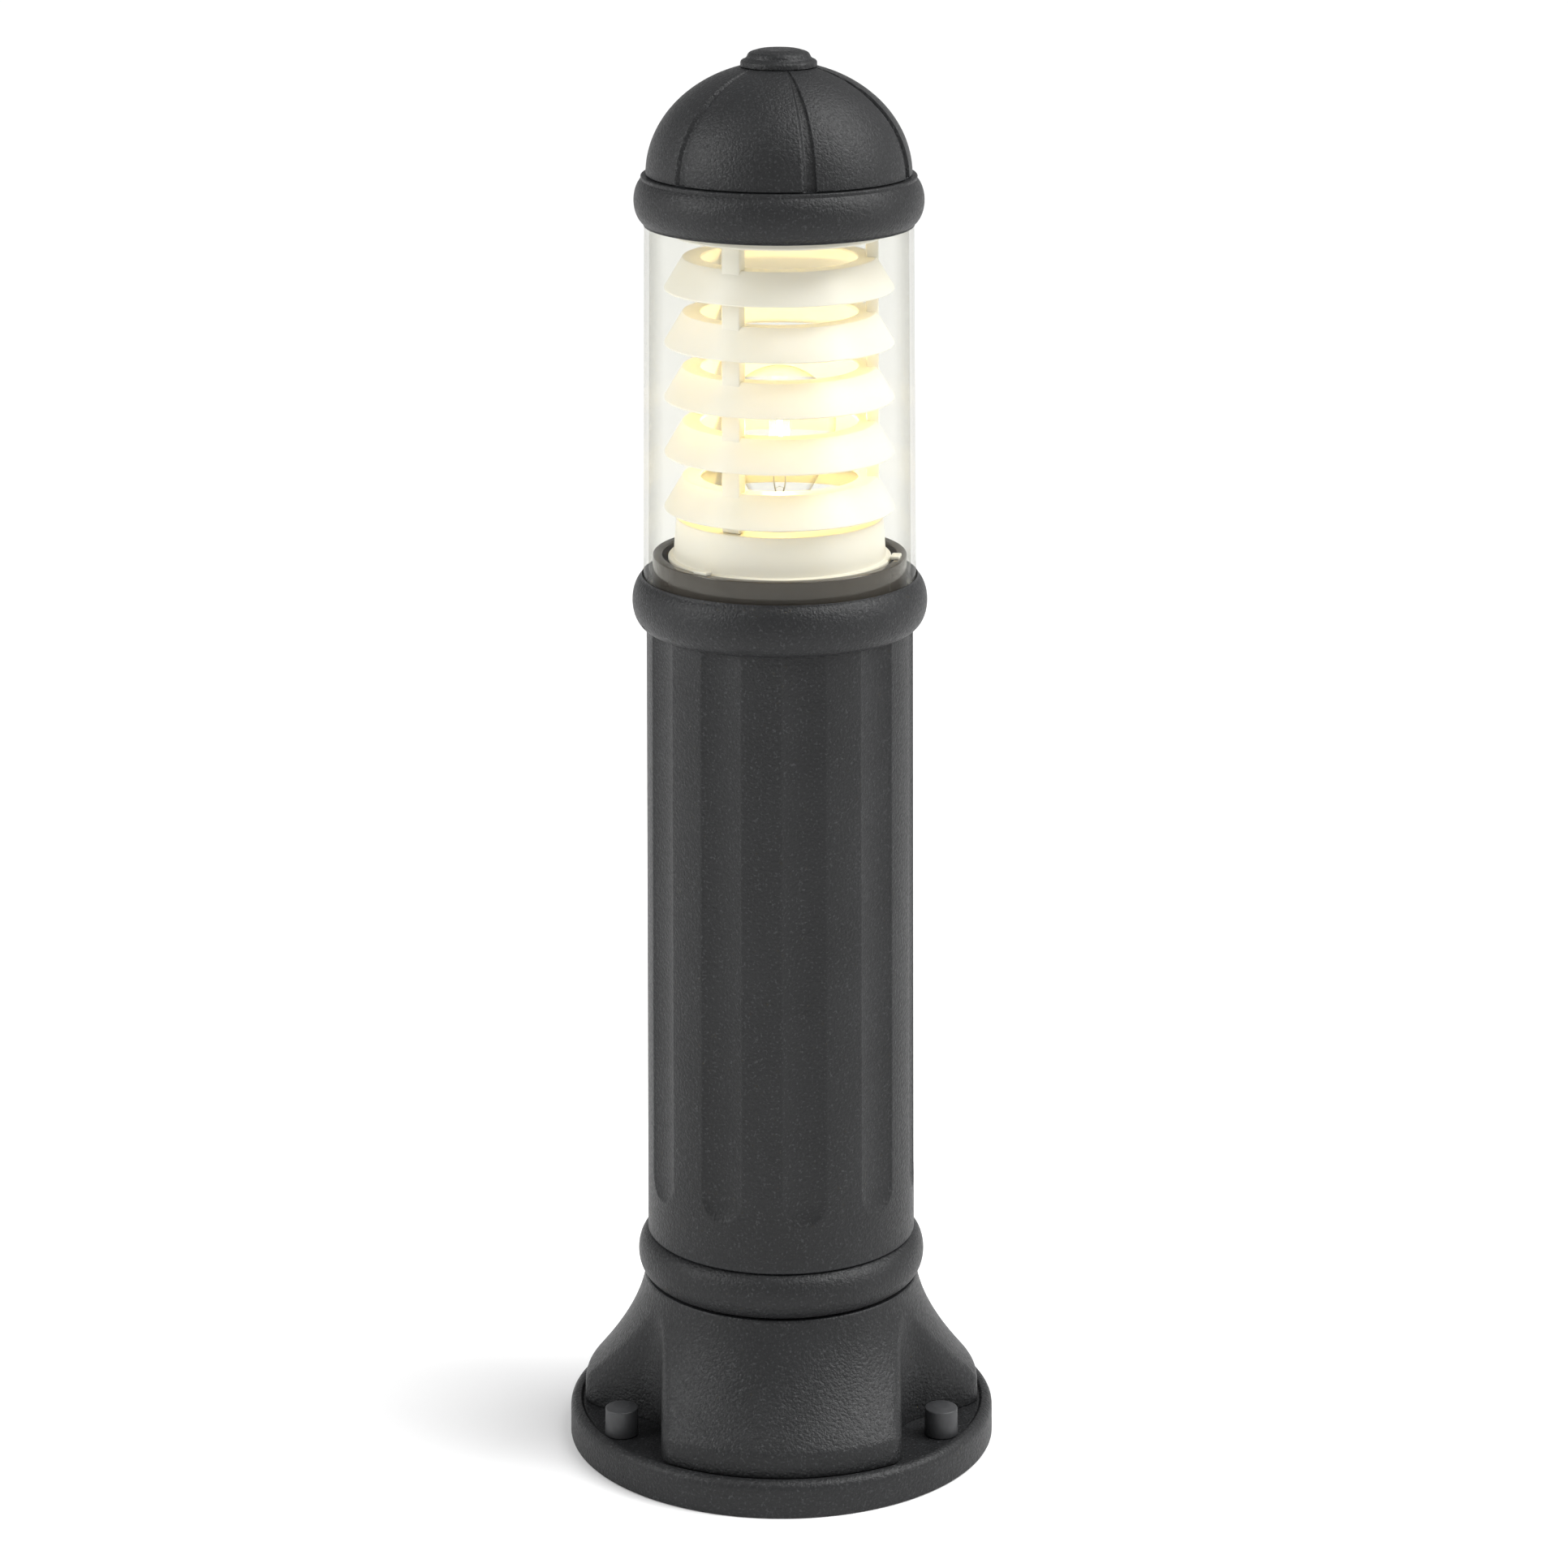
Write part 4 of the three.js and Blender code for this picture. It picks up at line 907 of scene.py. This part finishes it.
def make_plates():
    """Bevelled steel plates and the terminal block, in their CAD nodes' places."""
    size = high("lampholder_bracket") - low("lampholder_bracket")
    bar = slab("lampholder_bracket_fine", size, centre("lampholder_bracket"), "post",
               "zinc_steel", 0.6)
    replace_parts(bar, "lampholder_bracket")
    node = "terminal_bracket"
    bottom, top, middle = low(node), high(node), centre(node)
    sheet, width, tab_width = 2, 44, 20
    upright = slab("terminal_bracket_fine", (width, sheet, top.z - bottom.z),
                   (0, bottom.y + sheet / 2, middle.z), "post", "zinc_steel", 0.5)
    tab = slab("terminal_bracket_tab", (tab_width, top.y - bottom.y - sheet, sheet),
               (0, middle.y + sheet / 2, top.z - sheet / 2), "post", "zinc_steel", 0.5)
    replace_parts(upright, "terminal_bracket")
    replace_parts(tab, "terminal_bracket")
    node = "terminal_block"
    bottom, top, middle = low(node), high(node), centre(node)
    block = slab("terminal_block_fine", top - bottom, middle, "post", "terminal_plastic", 1.0)
    wells = [drill((x, bottom.y - 1, middle.z), (x, bottom.y + 5, middle.z), 2.6)
             for x in (-12, 0, 12)]
    cut_away(block, *wells)
    shade(block, 30)
    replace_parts(block, "terminal_block")


make_plates()


# --- Lamp ---

LAMP_BOTTOM = low("lamp_tip").z
BULB_TOP = high("lamp_glass").z
BULB_RADIUS = 30
BULB_WIDEST = BULB_TOP - BULB_RADIUS
BULB_NECK = 11.7
BULB_BOTTOM = 470


def make_lamp():
    """The lamp's bulb, its threaded cap and the contact under it."""
    outer = [(BULB_NECK, BULB_BOTTOM), (BULB_NECK, 483)]
    swelling = [(BULB_NECK, 485, 0), (13.6, 491.5, 0), (18.6, 501, 0), (25.2, 513.5, 0),
                (28.8, 523.5, 0)]
    outer += [tuple(point[:2]) for point in smooth_route(swelling, 6)]
    outer += arc(0, BULB_WIDEST, BULB_RADIUS, BULB_RADIUS, -15, 90, 26)
    bulb = turned("bulb", [(0, BULB_BOTTOM), *outer[:-1], (0, BULB_TOP)], "lamp", "lamp_glass",
                  columns=96)
    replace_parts(bulb, "lamp_glass")

    start, end = span("lamp_cap")
    crest = 13.1

    def threaded(azimuth, r, z):
        if r > 12.6 and start + 3 < z < end - 3:
            return r - 0.45 + 0.4 * thread_wave(azimuth, z, E27_PITCH), z
        return r, z

    path = [(0, start), (9.6, start), (11.5, start + 1), (13.0, start + 2.6)]
    path += [(crest, z) for z in spaced(start + 3, end - 2.5, 0.4)]
    path += [(crest, end - 2.5), (crest, end - 0.3), (12.8, end), (12.3, end - 0.2),
             (12.2, start + 4), (9, start + 1.2), (0, start + 1.2)]
    cap = turned("lamp_screw_cap", path, "lamp", "nickel_cap", columns=96, relief=threaded)
    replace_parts(cap, "lamp_cap")

    button, disc, tip_top = 4.8, 9.4, high("lamp_tip").z
    path = rounded([
        (0, LAMP_BOTTOM), (3.6, LAMP_BOTTOM, 0.8), (button, LAMP_BOTTOM + 1.3, 0.3),
        (button, LAMP_BOTTOM + 2, 0.2), (disc, LAMP_BOTTOM + 3.5, 0.4), (disc, tip_top, 0.2),
        (0, tip_top),
    ], closed=False)
    tip = turned("lamp_contact", path, "lamp_carrier", "brass", columns=64)
    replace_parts(tip, "lamp_tip")


def make_capsule():
    """The halogen capsule inside the bulb: quartz tube, pinch, stem, leads and filament."""
    path = rounded([(0, 466), (4.2, 466, 0.5), (4.2, 478), (2.6, 492, 2), (2.2, 498, 1),
                    (0, 499)], closed=False)
    stem = turned("lamp_stem", path, "lamp", "lamp_glass", columns=32)
    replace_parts(stem, "lamp_capsule")
    path = rounded([(0, 513.5), (5.5, 513.5, 1.2), (5.5, 540.5, 3), (1.8, 546.5, 1),
                    (1.2, 548.4, 0.5), (0, 548.6)], closed=False)
    quartz = turned("lamp_quartz", path, "lamp", "lamp_glass", columns=40)
    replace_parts(quartz, "lamp_capsule")
    pinch = slab("lamp_pinch", (8.6, 2.6, 9), (0, 0, 509.5), "lamp", "lamp_glass", 0.9)
    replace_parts(pinch, "lamp_capsule")
    for name, side in (("left", -1), ("right", 1)):
        route = [(side * 2.0, 0, 496), (side * 3.0, 0, 501), (side * 3.0, 0, 506),
                 (side * 2.4, 0, 516), (side * 2.2, 0, 522)]
        lead = rod(f"lamp_lead_{name}", smooth_route(route), 0.35, "lamp", "zinc_steel", 8)
        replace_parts(lead, "lamp_capsule")
    turns, steps_a_turn, coil_radius, coil_bottom, run, coil_wire = 9, 12, 1.1, 523, 12.0, 0.42
    steps = turns * steps_a_turn
    route = []
    for i in range(steps + 1):
        t = i / steps
        angle = math.tau * turns * t
        route.append((coil_radius * math.cos(angle), coil_radius * math.sin(angle),
                      coil_bottom + run * t))
    coil = rod("lamp_coil", route, coil_wire, "lamp", "lamp_filament", 8)
    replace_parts(coil, "lamp_capsule")


make_lamp()
make_capsule()


# --- Louvre ---

LOUVRE_BORE = 42
LOUVRE_SHEET = 1.8
LOUVRE_POST_AZIMUTHS = (-29, 91, 211)
LOUVRE_POST_SIZE = (10.6, 6.6)
LOUVRE_POST_REACH = 49.4


def make_louvre():
    """The louvre: stacked flaring rings on three posts, a skirt under them and a lid on top."""
    for k in range(LOUVRE_RINGS):
        node = f"louvre_ring_{k + 1}"
        bottom, top, outer = low(node).z, high(node).z, high(node).x
        path = rounded([
            (outer - 1.9, bottom, 0.5), (outer, bottom + 0.5, 0.7), (51.5, top, 0.8),
            (LOUVRE_BORE, top, 0.5), (LOUVRE_BORE, top - LOUVRE_SHEET, 0.5),
            (50.4, top - LOUVRE_SHEET, 1.0),
        ])
        ring = turned(f"{node}_fine", path, "louvre", "louvre_plastic", columns=256)
        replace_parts(ring, node)
    for k, azimuth in enumerate(LOUVRE_POST_AZIMUTHS):
        node = f"louvre_post_{k + 1}"
        bottom, top = span(node)
        post = slab(f"{node}_fine", (*LOUVRE_POST_SIZE, top - bottom),
                    (0, -LOUVRE_POST_REACH, (top + bottom) / 2), "louvre", "louvre_plastic", 0.7,
                    turn=azimuth)
        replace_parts(post, node)
    bottom, top = span("louvre_base")
    rim, rim_bottom, rim_top = 59.3, 460.8, 463
    path = rounded([
        (54.8, bottom, 0.4), (57, bottom, 0.5), (56.6, rim_bottom, 0.3), (rim, rim_bottom, 0.6),
        (rim, rim_top, 0.8), (56.4, rim_top, 0.6), (55, top, 0.9), (LOUVRE_BORE, top, 0.6),
        (LOUVRE_BORE, top - LOUVRE_SHEET, 0.5), (53, top - LOUVRE_SHEET, 1),
    ])
    skirt = turned("louvre_skirt", path, "louvre", "louvre_plastic", columns=256)
    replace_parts(skirt, "louvre_base")
    bottom, top = span("louvre_lid")
    floor = bottom + 2.2
    path = rounded([(0, bottom), (57.4, bottom, 1.2), (56, top, 0.6), (54, top, 0.6),
                    (54.2, floor, 1), (0, floor)], closed=False)
    disc = turned("louvre_top_disc", path, "louvre", "louvre_plastic", columns=256)
    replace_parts(disc, "louvre_lid")


make_louvre()


# --- Diffuser and cap ---

def make_diffuser():
    """The clear tube, a little narrower at its top."""
    bottom, top = span("diffuser")
    wall, taper = 2.8, 0.7
    head_radius = DIFFUSER_FOOT - taper
    path = rounded([(DIFFUSER_FOOT - wall, bottom, 0.5), (DIFFUSER_FOOT, bottom, 0.6),
                    (head_radius, top, 0.6), (head_radius - wall, top, 0.5)])
    tube = turned("diffuser_tube", path, "head", "clear_diffuser", columns=256)
    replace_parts(tube, "diffuser")


def make_cap_ring():
    """The bead ring under the dome, with a groove below for the seal and the tube."""
    width, half_height, middle = 8.8, 13.5, CAP_RING_BOTTOM + 13.2
    groove, bore, seam = 72.2, 59.5, 73.9
    path = [(groove, CAP_RING_BOTTOM)]
    path += arc(CAP_RING_RADIUS - width, middle, width, half_height, -70, 56, 30)
    path += rounded([
        (seam - 0.5, CAP_RING_TOP - 2), (seam, CAP_RING_TOP, 0.8), (bore, CAP_RING_TOP, 0.5),
        (bore, GROOVE_TOP, 1.0), (groove, GROOVE_TOP, 0.4), (groove, CAP_RING_BOTTOM),
    ], closed=False)[1:-1]
    ring = turned("cap_band", path, "head", "powder_coat", columns=256)
    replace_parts(ring, "cap_ring")


def seam_depth(azimuth, r):
    """The dome's six seams: a recess with a soft left wall and a crisp right one."""
    across = nearest_turn(azimuth, DOME_SEAM_AZIMUTH, DOME_SEAMS)
    outward = smooth_step((r - 20) / 30)
    reach = 2.6 + 0.8 * outward
    wall = 2.6 if across < 0 else 0.8
    return (0.8 + 1.1 * outward) * smooth_step((reach - abs(across)) / wall)


def make_dome():
    """The dome: a half ellipse with a flat seat for the finial, hollow below."""
    recess = FINIAL_RADIUS + GAP
    bore, stud_hole = 58, 3.4
    top_angle = math.degrees(math.acos(recess / DOME_RADIUS))
    flange = DOME_BOTTOM + 5
    outer = arc(0, DOME_BOTTOM, DOME_RADIUS, DOME_HEIGHT, 0.5, top_angle, 60)
    seat = [(recess - 0.2, FINIAL_SEAT), (stud_hole, FINIAL_SEAT)]
    inner = arc(0, DOME_BOTTOM, *DOME_INNER, 87.1, 6, 24)
    path = [(bore + 0.5, DOME_BOTTOM), (DOME_RADIUS - 0.5, DOME_BOTTOM)] + outer + seat + inner
    path += [(bore + 0.5, flange), (bore, flange - 0.5), (bore, DOME_BOTTOM + 0.5)]
    skin = set(outer)

    def seamed(azimuth, r, z):
        if (r, z) not in skin:
            return r, z
        depth = seam_depth(azimuth, r)
        lift = math.hypot(r / DOME_RADIUS ** 2, (z - DOME_BOTTOM) / DOME_HEIGHT ** 2)
        return (r - depth * r / DOME_RADIUS ** 2 / lift,
                z - depth * (z - DOME_BOTTOM) / DOME_HEIGHT ** 2 / lift)

    dome = turned("dome", path, "head", "powder_coat", columns=1080, relief=seamed)
    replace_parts(dome, "cap_dome")


def make_finial():
    """The two-step boss on the dome, with a stud below it and the nut on that stud."""
    stud_bottom, seat = low("cap_finial").z, FINIAL_SEAT + GAP
    stud, tier = 3, 16.6
    path = [(0, stud_bottom), (stud - 0.5, stud_bottom), (stud, stud_bottom + 0.5), (stud, seat)]
    path += rounded([
        (stud, seat), (FINIAL_RADIUS, seat, 0.3), (FINIAL_RADIUS, seat + 3.0, 1.8),
        (tier + 0.8, seat + 4.4, 2.2), (tier - 0.4, TOTAL_HEIGHT - 1.9, 3.4),
        (tier - 6, TOTAL_HEIGHT - 0.2, 9), (0, TOTAL_HEIGHT),
    ], closed=False)[1:]
    finial = turned("finial", path, "head", "powder_coat", columns=128)
    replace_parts(finial, "cap_finial")
    bottom, top, bore, corner = low("finial_nut").z, high("finial_nut").z, 3.3, 5.6
    path = rounded([(bore, bottom, 0.3), (corner, bottom, 0.4), (corner, top, 0.4),
                    (bore, top, 0.3)])

    def hexed(azimuth, r, z):
        return (hexagon(5.0, azimuth, 30) if r > 4.5 else r), z

    nut = turned("finial_nut_fine", path, "head", "zinc_steel", columns=60, relief=hexed,
                 smooth_angle=28)
    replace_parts(nut, "finial_nut")


make_diffuser()
make_cap_ring()
make_dome()
make_finial()


# --- Floor, light and camera ---

def make_stage():
    """A white paper floor that reaches well past the picture."""
    mesh = bpy.data.meshes.new("floor")
    reach, drop = 60.0, -0.0002
    mesh.from_pydata([(-reach, -reach, drop), (reach, -reach, drop), (reach, reach, drop),
                      (-reach, reach, drop)], [], [[0, 1, 2, 3]])
    floor = add_object("floor", mesh)
    paper = Finish("floor_paper", (0.9, 0.9, 0.9), 0.9, specular=0.1)
    paper.colour(paper.blend(paper.noise(400, 2), (0.9, 0.9, 0.9), (0.92, 0.92, 0.92)))
    mesh.materials.append(paper.material)


def make_world():
    """A soft white dome of light, as bright as the floor in a band along the horizon."""
    world = bpy.data.worlds.new("studio")
    world.use_nodes = True
    tree = world.node_tree
    direction = tree.nodes.new("ShaderNodeTexCoord").outputs["Generated"]
    split = tree.nodes.new("ShaderNodeSeparateXYZ")
    fade = tree.nodes.new("ShaderNodeMapRange")
    fade.interpolation_type = "SMOOTHSTEP"
    for socket, number in zip(fade.inputs[1:5], (0.09, 0.18, 1.0, 0.37)):
        socket.default_value = number
    tree.links.new(direction, split.inputs["Vector"])
    tree.links.new(split.outputs["Z"], fade.inputs["Value"])
    tree.links.new(fade.outputs["Result"], tree.nodes["Background"].inputs["Strength"])
    tree.nodes["Background"].inputs["Color"].default_value = (1.0, 1.0, 1.0, 1)
    bpy.context.scene.world = world


def aim(light, target):
    """Turns a light towards a point."""
    towards = Vector(target) - light.location
    light.rotation_euler = towards.to_track_quat("-Z", "Y").to_euler()


def add_light(name, kind, location, target, energy, colour=(1, 1, 1), **settings):
    """A light at a place, in metres, that no view shows directly."""
    data = bpy.data.lights.new(name, kind)
    data.energy = energy
    data.color = colour
    for key, value in settings.items():
        setattr(data, key, value)
    light = add_object(name, data)
    light.location = location
    aim(light, target)
    light.visible_camera = False
    return light


def make_lights():
    """A broad sun from the right, two soft boxes and the lit filament."""
    middle = (0, 0, 0.4)
    add_light("key_sun", "SUN", (1.6, -0.15, 3.0), middle, 2.8, angle=math.radians(46))
    box = {"shape": "RECTANGLE", "size": 0.9, "size_y": 1.6}
    add_light("left_softbox", "AREA", (-1.9, -0.6, 1.6), middle, 36, **box)
    add_light("right_softbox", "AREA", (1.9, -0.45, 1.6), middle, 26, **box)
    glow = add_light("filament_light", "POINT", (0, 0, 0.529), (0, 0, 0), 0.4, (1.0, 0.77, 0.28),
                     shadow_soft_size=0.004)
    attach(glow, "lamp")


def make_camera():
    """The photograph's view: from 16 degrees above, drawn with its verticals parallel.

    A lens this long, aimed down, would draw the column narrowing towards its foot. The camera's
    parent inverse leans its viewing direction and keeps its picture plane upright instead.
    """
    distance, height = 2385 * MM, 1016 * MM
    down = math.radians(15.81)
    roll = math.radians(0.12)
    right = Vector((1, 0, 0))
    up = Vector((math.sin(roll), 0, math.cos(roll)))
    back = Vector((0, -math.cos(down), math.sin(down)))
    lean = Matrix((right, up, back)).transposed().to_4x4()
    lean.translation = (2.0 * MM, -distance, height)
    data = bpy.data.cameras.new("camera")
    data.sensor_width = 36
    data.lens = 107.1
    data.clip_end = 200
    camera = add_object("camera", data)
    camera.parent = add_object("camera_stand", None)
    camera.matrix_parent_inverse = lean
    bpy.context.scene.camera = camera


make_stage()
make_world()
make_lights()
make_camera()
bpy.context.scene.view_settings.view_transform = "Standard"
